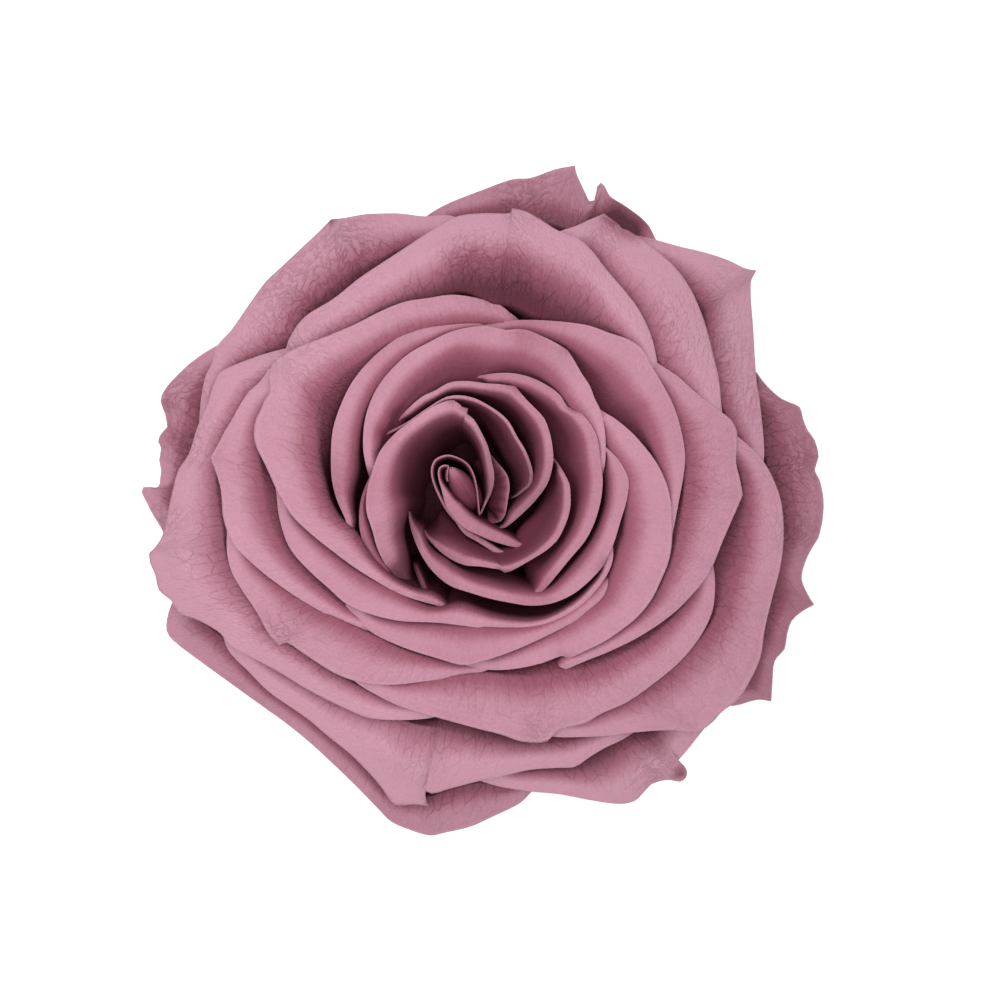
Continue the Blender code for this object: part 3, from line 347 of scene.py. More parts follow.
class RoseBloomSizes(bpy.types.PropertyGroup):
    """Sizes and colours of the petals."""

    crown_height: bpy.props.FloatProperty(
        name="Crown height", description="Height of the ring where the rims stand highest",
        default=0.047, min=0.03, max=0.07, unit="LENGTH", subtype="DISTANCE", precision=4)
    outer_fall: bpy.props.FloatProperty(
        name="Outer fall", default=0.028,
        description="Fall of the dome outside the crown, in mm for each square mm")
    heart_fall: bpy.props.FloatProperty(
        name="Heart fall", default=0.10,
        description="Fall of the dome inside the crown, in mm for each square mm")
    lip_droop: bpy.props.FloatProperty(
        name="Lip droop", default=0.10, min=0.0, max=1.0,
        description="Drop of a turned-over lip for its width")
    rim_thickness: bpy.props.FloatProperty(
        name="Rim thickness", description="Thickness of a petal near its rim",
        default=0.00014, min=0.00005, max=0.001, unit="LENGTH", subtype="DISTANCE", precision=5)
    root_thickness: bpy.props.FloatProperty(
        name="Root thickness", description="Thickness of a petal low on its belly",
        default=0.0005, min=0.0001, max=0.002, unit="LENGTH", subtype="DISTANCE", precision=5)
    step: bpy.props.FloatProperty(
        name="Mesh step", description="Length of the mesh's faces along a rim",
        default=0.0007, min=0.0003, max=0.003, unit="LENGTH", subtype="DISTANCE", precision=5)
    ripple: bpy.props.FloatProperty(
        name="Ripple", description="Depth of the broad waves of the outer petals",
        default=0.0005, min=0.0, max=0.002, unit="LENGTH", subtype="DISTANCE", precision=5)
    light_mauve: bpy.props.FloatVectorProperty(
        name="Light mauve", description="Colour of the lips of the petals", subtype="COLOR",
        size=3, min=0.0, max=1.0, default=(0.345, 0.174, 0.226))
    # The veins' colour, which is also the painted shade on the petals' inner walls
    vein_and_wall_shade_mauve: bpy.props.FloatVectorProperty(
        name="Wall mauve", description="Colour of the veins and the petals' inner walls", subtype="COLOR",
        size=3, min=0.0, max=1.0, default=(0.185, 0.058, 0.087))
    # Painted deep shade low on the petals' walls and roots, where the gaps between petals are darkest
    deep_shade_mauve: bpy.props.FloatVectorProperty(
        name="Deep mauve", description="Colour of the petals' lower halves", subtype="COLOR",
        size=3, min=0.0, max=1.0, default=(0.062, 0.014, 0.0235))


class RoseCalyxSizes(bpy.types.PropertyGroup):
    """Sizes and colours of the hip and the sepals."""

    sepal_count: bpy.props.IntProperty(
        name="Sepals", description="Number of sepals round the hip", default=5, min=3, max=8)
    sepal_turn: bpy.props.FloatProperty(
        name="Turn", description="Turn of the first sepal", default=math.radians(18.0),
        subtype="ANGLE", unit="ROTATION")
    sepal_width: bpy.props.FloatProperty(
        name="Sepal width", description="Width of a sepal where it is widest",
        default=0.007, min=0.002, max=0.02, unit="LENGTH", subtype="DISTANCE", precision=4)
    hair_count: bpy.props.IntProperty(
        name="Hairs", default=260, min=0, max=2000,
        description="Number of fine hairs on the hip and the stub")
    green: bpy.props.FloatVectorProperty(
        name="Green", description="Colour of the hip and the sepals", subtype="COLOR",
        size=3, min=0.0, max=1.0, default=(0.115, 0.125, 0.045))
    pith: bpy.props.FloatVectorProperty(
        name="Pith", description="Colour of the middle of the cut stub", subtype="COLOR",
        size=3, min=0.0, max=1.0, default=(0.42, 0.36, 0.20))


class RoseStageSizes(bpy.types.PropertyGroup):
    """The floor, the lights and the camera."""

    floor_size: bpy.props.FloatProperty(
        name="Floor size", description="Side of the floor", default=6.0, unit="LENGTH", subtype="DISTANCE")
    camera_height: bpy.props.FloatProperty(
        name="Camera height", description="Height of the camera above the floor", default=2.53,
        unit="LENGTH", subtype="DISTANCE")
    lens: bpy.props.FloatProperty(name="Lens", description="Focal length in mm", default=900.0)
    key_power: bpy.props.FloatProperty(
        name="Key light", description="Strength of the soft light from the upper left", default=1.0)
    top_power: bpy.props.FloatProperty(
        name="Top light", description="Strength of the very soft light from above", default=4.0)
    sky: bpy.props.FloatProperty(
        name="Sky", description="Strength of the light from all round", default=0.5)


def spans(points):
    """Each point but the last with the one before and the next two, with one more made up at each end."""
    padded = [2.0 * points[0] - points[1], *points, 2.0 * points[-1] - points[-2]]
    return zip(padded, padded[1:], padded[2:], padded[3:])


def spline_span(a, b, c, d, share, least=0.0):
    """The points between b and c, at shares of the way, of a smooth line through a, b, c and d."""
    before, chord, after = (
        np.linalg.norm(step, axis=-1, keepdims=True) + least for step in (b - a, c - b, d - c)
    )
    leaving = (c - a) / (before + chord) * chord
    arriving = (d - b) / (chord + after) * chord
    return (
        (2 * share**3 - 3 * share**2 + 1) * b + (share**3 - 2 * share**2 + share) * leaving
        + (3 * share**2 - 2 * share**3) * c + (share**3 - share**2) * arriving
    )


def spline_rows(controls, counts):
    """Smooth rows through the control rows, with so many rows from each to the next."""
    rows = []
    for (a, b, c, d), count in zip(spans(controls), counts):
        rows.extend(spline_span(a, b, c, d, k / count, SMALL) for k in range(count))
    rows.append(controls[-1])
    return np.array(rows)


def rim_curve(rim, step):
    """A smooth line through rim points, sharp at its tips: its points, its lengths and how near a tip."""
    points = np.array([point[:2] for point in rim], float)
    tips = [n for n in range(1, len(rim) - 1) if len(rim[n]) == 3]
    corners = [0, *tips, len(rim) - 1]
    line = []
    for first, last in zip(corners, corners[1:]):
        for a, b, c, d in spans(points[first : last + 1]):
            count = max(2, math.ceil(np.hypot(*(c - b)) / step))
            line.append(spline_span(a, b, c, d, np.arange(count)[:, None] / count))
    line = np.vstack([*line, points[-1:]])
    length = np.concatenate([[0.0], np.cumsum(np.hypot(*np.diff(line, axis=0).T))])
    near = np.zeros(len(line))
    for tip in tips:
        away = np.hypot(*(line - points[tip]).T)
        near = np.maximum(near, np.clip(1.0 - away / TIP_REACH, 0.0, 1.0) ** TIP_SHARPNESS)
    return line, length, near


def crossing_distance(start, direction, first, along, nearest):
    """Distance along a ray, in plan, to the first short line that it crosses beyond the nearest allowed."""
    offset = first - start
    cross = direction[0] * along[:, 1] - direction[1] * along[:, 0]
    cross = np.where(np.abs(cross) < TINY, TINY, cross)
    distance = (offset[:, 0] * along[:, 1] - offset[:, 1] * along[:, 0]) / cross
    share = (offset[:, 0] * direction[1] - offset[:, 1] * direction[0]) / cross
    hits = distance[(share >= 0.0) & (share <= 1.0) & (distance > nearest)]
    return min(hits.min(), WIDEST_BAND) if len(hits) else WIDEST_BAND


def smoothed(values, length, reach):
    """Values along a line, averaged over a reach in millimetres."""
    weight = np.exp(-(((length[:, None] - length[None, :]) / reach) ** 2))
    return (weight * values).sum(axis=1) / weight.sum(axis=1)


def evenly(along, values):
    """Values given at even steps of a line, at places along it."""
    return np.interp(along, np.linspace(0.0, 1.0, len(values)), values)


class Petals:
    """The rims of all the petals, and the widths of the bands that they show."""

    def __init__(self, step):
        self.curves = {}
        self.lines = {}
        for ring in (HEART, INNER, MIDDLE, OUTER, GUARD):
            for name, _, _, _, buried, rim in ring:
                line, length, _ = self.curves[name] = rim_curve(rim, step)
                self.keep(name, line[(length >= buried[0]) & (length <= length[-1] - buried[1])])
        for name, *_, rim in BUD:
            self.keep(name, rim_curve(rim, step)[0])

    def keep(self, name, shown):
        """Keeps the short lines of a rim's showing part, each as its start and its step."""
        self.lines[name] = (shown[:-1], np.diff(shown, axis=0))

    def bands(self, name, axis, reach, nearest):
        """The width of a petal's showing band at each point of its rim, towards an axis."""
        line, length, _ = self.curves[name]
        first, along = (np.vstack(parts) for parts in zip(*(
            kept for other, kept in self.lines.items() if other != name)))
        widths = []
        for point in line:
            inward = axis - point
            inward /= max(np.hypot(*inward), SMALL)
            widths.append(crossing_distance(point, inward, first, along, nearest))
        return smoothed(np.array(widths), length, reach)


def dome_height(sizes, x, y):
    """The height of the dome that the rims lie on."""
    away = np.hypot(x, y) - CROWN_RADIUS
    return sizes.crown_height / MM - np.where(away > 0.0, sizes.outer_fall, sizes.heart_fall) * away**2


def petal_surface(petals, sizes, ring, name, lips, leans, lifts, buried):
    """The middle surface of one petal: rows from its foot or belly to its rim, in millimetres."""
    build = BUILDS[ring]
    line, length, near = petals.curves[name]
    wide = ring in WIDE_RINGS
    heart = ring == "heart"
    axis = np.array(HEART_AXIS if heart else BASE_AXIS)
    along = length / length[-1]
    hidden = np.zeros(len(line))
    for away, under in ((length, buried[0]), (length[-1] - length, buried[1])):
        if under:
            hidden = np.maximum(hidden, 1.0 - away / under)
    lift = evenly(along, lifts) - HIDDEN_SINK * hidden

    outward = line - axis
    radius = np.hypot(*outward.T)
    angle = np.unwrap(np.arctan2(outward[:, 1], outward[:, 0]))
    middle = (angle[0] + angle[-1]) / 2.0
    even_radius = smoothed(radius, length, SMOOTH_REACH)
    even_angle = smoothed(angle, length, SMOOTH_REACH)
    band = petals.bands(name, axis, build.reach, build.nearest) * (1.0 - BURIED_BAND * hidden)
    ends = np.clip(np.minimum(along, 1.0 - along) * build.lip_start, 0.0, 1.0)
    lip = evenly(along, lips) * band * ends * (1.0 - hidden)
    lean_in = evenly(along, leans) * (ends if heart else 1.0)
    gap = lean_in * (band - lip) + WALL_INSET
    gap = np.minimum(gap, np.maximum((1.0 - SMALLEST_WALL) * radius - lip, WALL_INSET))
    drop = build.fall[0] + build.fall[1] * band + SHEER_DROP * (1.0 - lean_in)
    droop = sizes.lip_droop * lip + CREST_RISE
    rim_dome = dome_height(sizes, *line.T)

    inner_part = np.clip(np.minimum(length, length[-1] - length) / SMOOTH_REACH, 0.0, 1.0)
    rows = []
    for lip_share, gap_share, drop_share, droop_share, tip_share in PROFILE:
        inset = lip_share * (lip + CREST_INSET) + gap_share * gap
        evened = np.clip(inset / SMOOTH_INSET, 0.0, 1.0) * inner_part
        place = radius + evened * (even_radius - radius) - inset
        turn = angle + evened * (even_angle - angle)
        x = axis[0] + place * np.cos(turn)
        y = axis[1] + place * np.sin(turn)
        level = rim_dome + build.follows * (dome_height(sizes, x, y) - rim_dome) + lift + droop
        level -= drop_share * drop + droop_share * droop + tip_share * TIP_DROP * near
        rows.append(np.stack([x, y, level], axis=1))
        if gap_share == 1.0:
            wall, wall_turn = place, turn
    belly = build.belly[0] * wall + build.belly[1]
    belly_height = np.full(len(line), ROOT_HEIGHT)
    if wide:
        belly_height = FOOT_HEIGHT + BELLY_RISE * (rim_dome + lift - FOOT_HEIGHT)
    counts = [BELLY_ROWS, *PROFILE_ROWS]
    lower = [(belly, belly_height, BELLY_SPREAD if wide else 1.0, HEART_BELLY_LEAN if heart else 0.0)]
    if wide:
        lower.append((np.full(len(line), FOOT_RADIUS), np.full(len(line), FOOT_HEIGHT), FOOT_SPREAD, 0.0))
        counts.insert(0, FOOT_ROWS)
    for place, level, spread, lean in lower:
        turn = middle + (wall_turn - middle) * spread
        x = axis[0] * lean + place * np.cos(turn)
        y = axis[1] * lean + place * np.sin(turn)
        rows.insert(0, np.stack([x, y, level], axis=1))
    return spline_rows(rows, counts), length, row_depths(counts, PROFILE_DEPTHS)


def row_depths(counts, depths):
    """How deep each row is, from the depths of the lines that the rows are counted between."""
    ticks = np.concatenate([[0], np.cumsum(counts)])
    return np.interp(np.arange(ticks[-1] + 1), ticks, depths[-len(ticks):])


def bud_surface(sizes, steps, pleats, rim):
    """The middle surface of a petal of the bud, with its lip turned out square to its rim."""
    line, length, _ = rim_curve([point[:2] for point in rim], BUD_STEP * sizes.step / MM)
    lip_reach, height_reach, turn_reach = BUD_SMOOTH
    along = length / length[-1]
    marks = [length[np.argmin(np.hypot(*(line - point[:2]).T))] for point in rim]
    lip = smoothed(np.interp(length, marks, [point[2] for point in rim]), length, lip_reach)
    height = smoothed(np.interp(length, marks, [point[3] for point in rim]), length, height_reach)
    run = np.gradient(line, axis=0)
    run /= np.maximum(np.hypot(*run.T), TINY)[:, None]
    inward = np.stack([smoothed(part, length, turn_reach) for part in (-run[:, 1], run[:, 0])], axis=1)
    inward /= np.hypot(*inward.T)[:, None]
    rise = sizes.lip_droop * lip
    rows = []
    fold = pleats[1] * np.sin(2.0 * math.pi * pleats[0] * along + PLEAT_TURN * along**2)
    for step_in, drop in reversed(steps):
        place = line + inward * (lip + step_in)[:, None]
        rows.append(np.column_stack([place, height + rise + drop + fold]))
    for share, step_in, rise_share in BUD_LIP:
        place = line + inward * (share * lip + step_in)[:, None]
        rows.append(np.column_stack([place, height + rise_share * rise]))
    return spline_rows(rows, BUD_ROWS), length, row_depths(BUD_ROWS, BUD_DEPTHS)


def bud_cone():
    """The closed surface of the rolled bud: rows from its foot to its top."""
    turn = np.linspace(0.0, 2.0 * math.pi, CONE_POINTS)
    along = np.array([math.cos(CONE_LEAN), math.sin(CONE_LEAN)])
    across = np.array([-along[1], along[0]])
    rows = []
    for height, x, y, long, short in reversed(BUD_CONE):
        places = (x, y) + np.outer(long * np.cos(turn), along) + np.outer(short * np.sin(turn), across)
        rows.append(np.column_stack([places, np.full(len(turn), height)]))
    rows = spline_rows(rows, [CONE_ROWS] * (len(rows) - 1))
    depths = np.interp(rows[:, 0, 2], CONE_HEIGHTS, CONE_DEPTHS)
    return rows, CONE_LENGTH * turn / turn[-1], depths


def surface_normals(rows):
    """Unit normals of a grid of points."""
    across = np.gradient(rows, axis=0)
    along = np.gradient(rows, axis=1)
    normal = np.cross(along, across)
    return normal / np.maximum(np.linalg.norm(normal, axis=2, keepdims=True), TINY)


def waved(rows, depth, seed):
    """The surface with broad and fine waves up and down, less towards its root."""
    moved = rows.copy()
    for i in range(len(rows)):
        fade = min(1.0, i / (WAVE_GROWTH * len(rows)))
        for j in range(rows.shape[1]):
            place = Vector(rows[i, j]) * WAVE_SCALE + Vector((seed, 0.0, 0.0))
            fine = (1.0 - WAVE_BROAD) * noise.noise(place * WAVE_FINER)
            moved[i, j, 2] += fade * depth * (WAVE_BROAD * noise.noise(place) + fine)
    return moved


def spotted(rows, spots):
    """The sum at each point of soft spots, each with its middle, its reach and its strength."""
    total = np.zeros(rows.shape[:2])
    for x, y, reach, strength in spots:
        away = np.hypot(rows[:, :, 0] - x, rows[:, :, 1] - y)
        total += strength * np.exp(-((away / reach) ** 2))
    return total.ravel()


def linked(name, mesh, material):
    """A smooth object of the scene with this mesh and material."""
    made = bpy.data.objects.new(name, mesh)
    bpy.context.scene.collection.objects.link(made)
    mesh.materials.append(material)
    mesh.shade_smooth()
    return made


class MeshParts:
    """Grids of points gathered into one mesh, with a UV map and the values that its finish reads."""

    def __init__(self):
        self.points = []
        self.faces = []
        self.uvs = []
        self.values = {"tone_and_shade": [], "depth": [], "crumple": []}
        self.count = 0

    def blade(self, rows, length, thick, depths, tone_and_shade, back=np.inf):
        """A closed blade about a grid of rows, with a thickness and a depth for each row.

        The outside's depths, which set its painted shade, go no further than back.
        """
        half = surface_normals(rows) * (np.asarray(thick) / 2.0)[:, None, None]
        across, along = rows.shape[:2]
        steps = np.linalg.norm(np.diff(rows[::-1], axis=0), axis=2)
        away = np.vstack([np.zeros(along), np.cumsum(steps, axis=0)])[::-1]
        places = np.stack([np.broadcast_to(length, away.shape), away], axis=2) / UV_LENGTH
        whole = across * along
        # Each point takes its petal's tone together with the painted shade and highlight of the soft spots
        tones_and_shade = tone_and_shade + spotted(rows, SHADE_AND_HIGHLIGHT_SPOTS)
        crumples = spotted(rows, CRUMPLES)
        for side, limited in ((rows + half, np.minimum(depths, back)), (rows - half, depths)):
            self.points.append(side.reshape(-1, 3))
            self.values["tone_and_shade"].append(tones_and_shade)
            self.values["crumple"].append(crumples)
            self.values["depth"].append(np.repeat(limited, along))
        index = np.arange(whole).reshape(across, along)
        corners = [index[:-1, :-1], index[:-1, 1:], index[1:, 1:], index[1:, :-1]]
        front = np.stack(corners, axis=2).reshape(-1, len(corners))
        ring = np.concatenate([index[0], index[1:, -1], index[-1, -2::-1], index[-2:0:-1, 0]])
        ahead = np.roll(ring, -1)
        edge = np.stack([ahead, ring, ring + whole, ahead + whole], axis=1)
        quads = np.vstack([front, front[:, ::-1] + whole, edge])
        self.faces.append(quads + self.count)
        self.uvs.append(places.reshape(-1, 2)[quads % whole])
        self.count += 2 * whole

    def build(self, name, material):
        """The object made of all the blades, with every face turned outwards."""
        mesh = bpy.data.meshes.new(name)
        mesh.from_pydata((np.vstack(self.points) * MM).tolist(), [], np.vstack(self.faces).tolist())
        layer = mesh.uv_layers.new(name="petal_map")
        layer.data.foreach_set("uv", np.vstack(self.uvs).ravel())
        for label, values in self.values.items():
            attribute = mesh.attributes.new(label, "FLOAT", "POINT")
            attribute.data.foreach_set("value", np.concatenate(values))
        made = linked(name, mesh, material)
        built = bmesh.new()
        built.from_mesh(mesh)
        bmesh.ops.recalc_face_normals(built, faces=built.faces)
        built.to_mesh(mesh)
        built.free()
        return made


# The petals' noises: the scale and the detail of each
NOISES = {
    "wander": (45.0, 1.0), "jitter": (170.0, 2.0), "wisps": (60.0, 2.0), "patches": (11.0, 2.0),
    "nap": (900.0, 2.0), "grain": (330.0, 3.0), "folds": (80.0, 3.0), "fibres": (1.0, 4.0),
    "creases": (1.0, 2.0),
}
# How far the noises bend the patterns, and how closely each pattern is set along a rim and away from it
BENDS = {"wander": 0.0035, "jitter": 0.0008}
STRETCHES = {
    "veins": (78.0, 34.0, 1.0), "cells": (170.0, 130.0, 1.0),
    "fibres": (300.0, 48.0, 1.0), "creases": (110.0, 16.0, 1.0),
}
# The range that each value of the pattern is taken over, and what it becomes at the ends of it. The wall
# range spreads the painted shade down each wall, and the rim range paints a highlight along the very rims.
RANGES = {
    "behind": (0.008, 0.05, 0.25, 1.0), "patches": (0.32, 0.62, 0.35, 1.0),
    "vein": (0.0, 0.08, 1.0, 0.0), "vein_wisps": (0.25, 0.5, 0.5, 1.0), "bulge": (0.0, 0.45),
    "veinlet": (0.0, 0.16, 1.0, 0.0), "veinlet_wisps": (0.3, 0.6, 0.35, 1.0), "cell": (0.0, 0.4),
    "fold": (0.0, 0.09, 1.0, 0.0), "wall": (0.12, 0.76), "rim_highlight": (0.0, 0.04, -0.3, 0.0),
    "rough": (0.2, 0.8, 0.68, 0.86),
}
# What each part of the pattern adds to a petal's shade and to its relief. The wall part is painted shade
# down the walls into the gaps between petals. The pits part paints the crumples' creases darker as shade and
# also sinks them in the relief.
SHADES = {"wall": 0.95, "veins": 0.5, "fibres": 0.8, "grain": 0.35, "patches": 0.4, "pits": 0.35}
RELIEFS = {
    "veins": -0.6, "bulges": 0.6, "cells": 0.5, "fibres": 0.5, "creases": 0.9, "grain": 0.35, "nap": 0.08,
    "pits": -1.6, "crumples": 1.4,
}
VEINLET_SHARE = 0.45
SHADOW_START = 0.4
PETAL_BUMP = {"Strength": 0.6, "Distance": 0.00022}
PETAL_GLOSS = 0.12

# A plain finish: its clouds and its grain, each as how much finer than its size and how detailed, the ranges
# that they are taken over, how rough the grain makes it, and its bump and gloss
PLAIN_CLOUDS = (1.0, 4.0)
PLAIN_GRAIN = (9.0, 3.0)
CLOUD_RANGE = (0.35, 0.7)
GRAIN_RANGE = (0.2, 0.8)
GRAIN_ROUGHNESS = 0.08
PLAIN_BUMP = 0.5
PLAIN_GLOSS = 0.25

# The cut stub: its noise, how far that moves its rings, the radii where pith turns to wood and wood to
# skin, the colour of the wood, and its cells
STUB_NOISE = (1.6, 3.0)
STUB_WANDER = 0.5
PITH_EDGE = (1.5, 1.9)
WOOD_EDGE = (2.9, 3.3)
WOOD = (0.20, 0.15, 0.06)
STUB_CELLS = 5.0
STUB_BUMP = {"Strength": 0.4, "Distance": 0.0001}
STUB_ROUGHNESS = 0.8

# The plain finishes: colour (the calyx takes its own), colour of the clouds, size, roughness, depth of grain
ROOT_LOOK = ((0.06, 0.01, 0.018), (0.04, 0.007, 0.012), 300.0, 0.8, 0.0001)
FLOOR_LOOK = ((0.95, 0.95, 0.95), (0.93, 0.93, 0.93), 4.0, 0.9, 0.00001)
CALYX_LOOK = ((0.17, 0.10, 0.045), 260.0, 0.72, 0.0001)

# The numbers of a Mix node's two colour sockets
MIX_FIRST = 6
MIX_SECOND = 7


def finish(name):
    """A new material with the tree and the shader that it is built on."""
    material = bpy.data.materials.new(name)
    material.use_nodes = True
    tree = material.node_tree
    tree.nodes.clear()
    shader = tree.nodes.new("ShaderNodeBsdfPrincipled")
    output = tree.nodes.new("ShaderNodeOutputMaterial")
    tree.links.new(shader.outputs[0], output.inputs[0])
    return material, tree, shader


def node(tree, kind, inputs=None, **settings):
    """A new node with its settings, and its inputs set or joined by name or number."""
    made = tree.nodes.new(kind)
    for key, value in settings.items():
        setattr(made, key, value)
    for key, value in (inputs or {}).items():
        if isinstance(value, bpy.types.NodeSocket):
            tree.links.new(value, made.inputs[key])
        else:
            made.inputs[key].default_value = value
    return made


def maths(tree, operation, *values, clamp=False):
    """The result of a sum on values."""
    inputs = dict(enumerate(values))
    return node(tree, "ShaderNodeMath", inputs, operation=operation, use_clamp=clamp).outputs[0]


def weighed(tree, total, *pairs):
    """A total with more values added, each times its share."""
    for value, share in pairs:
        total = maths(tree, "MULTIPLY_ADD", value, share, total)
    return total


def ranged(tree, value, low, high, out_low=0.0, out_high=1.0):
    """A value taken smoothly from one range to another."""
    return node(tree, "ShaderNodeMapRange", {
        "Value": value, "From Min": low, "From Max": high, "To Min": out_low, "To Max": out_high,
    }, interpolation_type="SMOOTHSTEP").outputs[0]


def mixed(tree, share, first, second):
    """A colour between two others."""
    inputs = {0: share, MIX_FIRST: first, MIX_SECOND: second}
    return node(tree, "ShaderNodeMix", inputs, data_type="RGBA").outputs[2]


def noised(tree, place, scale, detail, output="Fac"):
    """The noise at a place."""
    inputs = {"Vector": place, "Scale": scale, "Detail": detail}
    return node(tree, "ShaderNodeTexNoise", inputs).outputs[output]


def stretched(tree, place, scale):
    """A place with another scale along each axis."""
    return node(tree, "ShaderNodeMapping", {"Vector": place, "Scale": scale}).outputs[0]


def moved_place(tree, operation, *values):
    """The result of a sum on places."""
    return node(tree, "ShaderNodeVectorMath", dict(enumerate(values)), operation=operation).outputs[0]


def petal_finish(name, sizes, net, fibre, ring_shade, shadow, deep_shade_gain):
    """Dry, velvety petal: fine fibres towards the rim and a net of veins, with painted shade that darkens
    from the pale lips down the walls to the roots, and a painted highlight along the rims.
    """
    material, tree, shader = finish(name)

    def spread(value, label):
        return ranged(tree, value, *RANGES[label])

    def product(first, second):
        return maths(tree, "MULTIPLY", first, second)

    def centred(value):
        return maths(tree, "SUBTRACT", value, 0.5)

    place = bent = node(tree, "ShaderNodeUVMap", uv_map="petal_map").outputs[0]
    for label, bend in BENDS.items():
        stray = moved_place(tree, "SUBTRACT", noised(tree, place, *NOISES[label], "Color"), (0.5, 0.5, 0.5))
        bent = moved_place(tree, "MULTIPLY_ADD", stray, (bend, bend, 0.0), bent)
    drawn = {label: stretched(tree, bent, scale) for label, scale in STRETCHES.items()}
    vein_edge, cell_edge = (
        node(tree, "ShaderNodeTexVoronoi", {"Vector": drawn[label], "Scale": 1.0},
             feature="DISTANCE_TO_EDGE", voronoi_dimensions="2D").outputs[0]
        for label in ("veins", "cells")
    )
    fibres, creases = (noised(tree, drawn[label], *NOISES[label]) for label in ("fibres", "creases"))
    wisps, patches, nap, grain = (
        noised(tree, place, *NOISES[label]) for label in ("wisps", "patches", "nap", "grain")
    )
    behind = node(tree, "ShaderNodeSeparateXYZ", {"Vector": place}).outputs[1]
    vein = product(spread(vein_edge, "vein"), spread(wisps, "vein_wisps"))
    veinlet = product(spread(cell_edge, "veinlet"), spread(wisps, "veinlet_wisps"))
    patchy = product(spread(patches, "patches"), spread(behind, "behind"))
    veins = product(weighed(tree, vein, (veinlet, VEINLET_SHARE)), patchy)

    crumple, depth, tone_and_shade = (
        node(tree, "ShaderNodeAttribute", attribute_name=label).outputs["Fac"]
        for label in ("crumple", "depth", "tone_and_shade")
    )
    # Crease lines in the crumpled places, sunk into the relief and painted darker as shade
    folds = maths(tree, "ABSOLUTE", centred(noised(tree, bent, *NOISES["folds"])))
    pits = product(crumple, spread(folds, "fold"))
    # The mix from lip colour to wall colour. The veins, fibres, grain and patches are the petal's own. The
    # wall part, the ring's shade and the pits are painted shade, the tone holds painted shade and highlight
    # from the spots, and the rim part is a painted highlight.
    shade = weighed(
        tree, ring_shade, (spread(depth, "wall"), SHADES["wall"]), (veins, SHADES["veins"] * net),
        (centred(fibres), SHADES["fibres"] * fibre), (centred(grain), SHADES["grain"]),
        (centred(patches), SHADES["patches"]), (pits, SHADES["pits"]), (tone_and_shade, 1.0),
        (spread(depth, "rim_highlight"), 1.0),
    )
    # Painted deep shade, taken from the depth and from wherever the painted shade goes past the wall colour
    deep = maths(tree, "ADD", ranged(tree, depth, SHADOW_START * shadow, shadow),
                 maths(tree, "SUBTRACT", shade, 1.0, clamp=True), clamp=True)
    colour = mixed(tree, shade, (*sizes.light_mauve, 1.0), (*sizes.vein_and_wall_shade_mauve, 1.0))
    colour = mixed(tree, deep, colour, (*(deep_shade_gain * value for value in sizes.deep_shade_mauve), 1.0))
    tree.links.new(colour, shader.inputs["Base Color"])

    relief = weighed(
        tree, 0.0, (veins, RELIEFS["veins"] * net), (spread(vein_edge, "bulge"), RELIEFS["bulges"] * net),
        (spread(cell_edge, "cell"), RELIEFS["cells"] * net), (fibres, RELIEFS["fibres"] * fibre),
        (creases, RELIEFS["creases"] * fibre), (grain, RELIEFS["grain"]), (nap, RELIEFS["nap"]),
        (pits, RELIEFS["pits"]), (product(crumple, grain), RELIEFS["crumples"]),
    )
    bump = node(tree, "ShaderNodeBump", {"Height": relief, **PETAL_BUMP})
    tree.links.new(bump.outputs[0], shader.inputs["Normal"])
    tree.links.new(spread(nap, "rough"), shader.inputs["Roughness"])
    shader.inputs["Specular IOR Level"].default_value = PETAL_GLOSS
    return material


def plain_finish(name, colour, spots, size, rough, depth):
    """A matt finish on object coordinates: a colour with darker and lighter clouds and a fine grain."""
    material, tree, shader = finish(name)
    place = node(tree, "ShaderNodeTexCoord").outputs["Object"]
    clouds, grain = (
        noised(tree, place, size * finer, detail) for finer, detail in (PLAIN_CLOUDS, PLAIN_GRAIN)
    )
    tint = mixed(tree, ranged(tree, clouds, *CLOUD_RANGE), (*colour, 1.0), (*spots, 1.0))
    tree.links.new(tint, shader.inputs["Base Color"])
    bump = node(tree, "ShaderNodeBump", {"Height": grain, "Strength": PLAIN_BUMP, "Distance": depth})
    tree.links.new(bump.outputs[0], shader.inputs["Normal"])
    roughness = ranged(tree, grain, *GRAIN_RANGE, rough - GRAIN_ROUGHNESS, rough + GRAIN_ROUGHNESS)
    tree.links.new(roughness, shader.inputs["Roughness"])
    shader.inputs["Specular IOR Level"].default_value = PLAIN_GLOSS
    return material


def calyx_finish(name, sizes):
    """Dry green skin, browner in patches."""
    return plain_finish(name, tuple(sizes.green), *CALYX_LOOK)


def stub_finish(name, sizes):
    """The cut end of the stub: pale pith, a browner ring of wood and the green skin round it."""
    material, tree, shader = finish(name)
    place = node(tree, "ShaderNodeTexCoord").outputs["Object"]
    flat = stretched(tree, place, (1.0 / MM, 1.0 / MM, 0.0))
    away = node(tree, "ShaderNodeVectorMath", {0: flat}, operation="LENGTH").outputs["Value"]
    away = weighed(tree, away, (noised(tree, flat, *STUB_NOISE), STUB_WANDER))
    wood = mixed(tree, ranged(tree, away, *PITH_EDGE), (*sizes.pith, 1.0), (*WOOD, 1.0))
    skin = mixed(tree, ranged(tree, away, *WOOD_EDGE), wood, (*sizes.green, 1.0))
    tree.links.new(skin, shader.inputs["Base Color"])
    cells = node(tree, "ShaderNodeTexVoronoi", {"Vector": flat, "Scale": STUB_CELLS}).outputs[0]
    bump = node(tree, "ShaderNodeBump", {"Height": cells, **STUB_BUMP})
    tree.links.new(bump.outputs[0], shader.inputs["Normal"])
    shader.inputs["Roughness"].default_value = STUB_ROUGHNESS
    return material


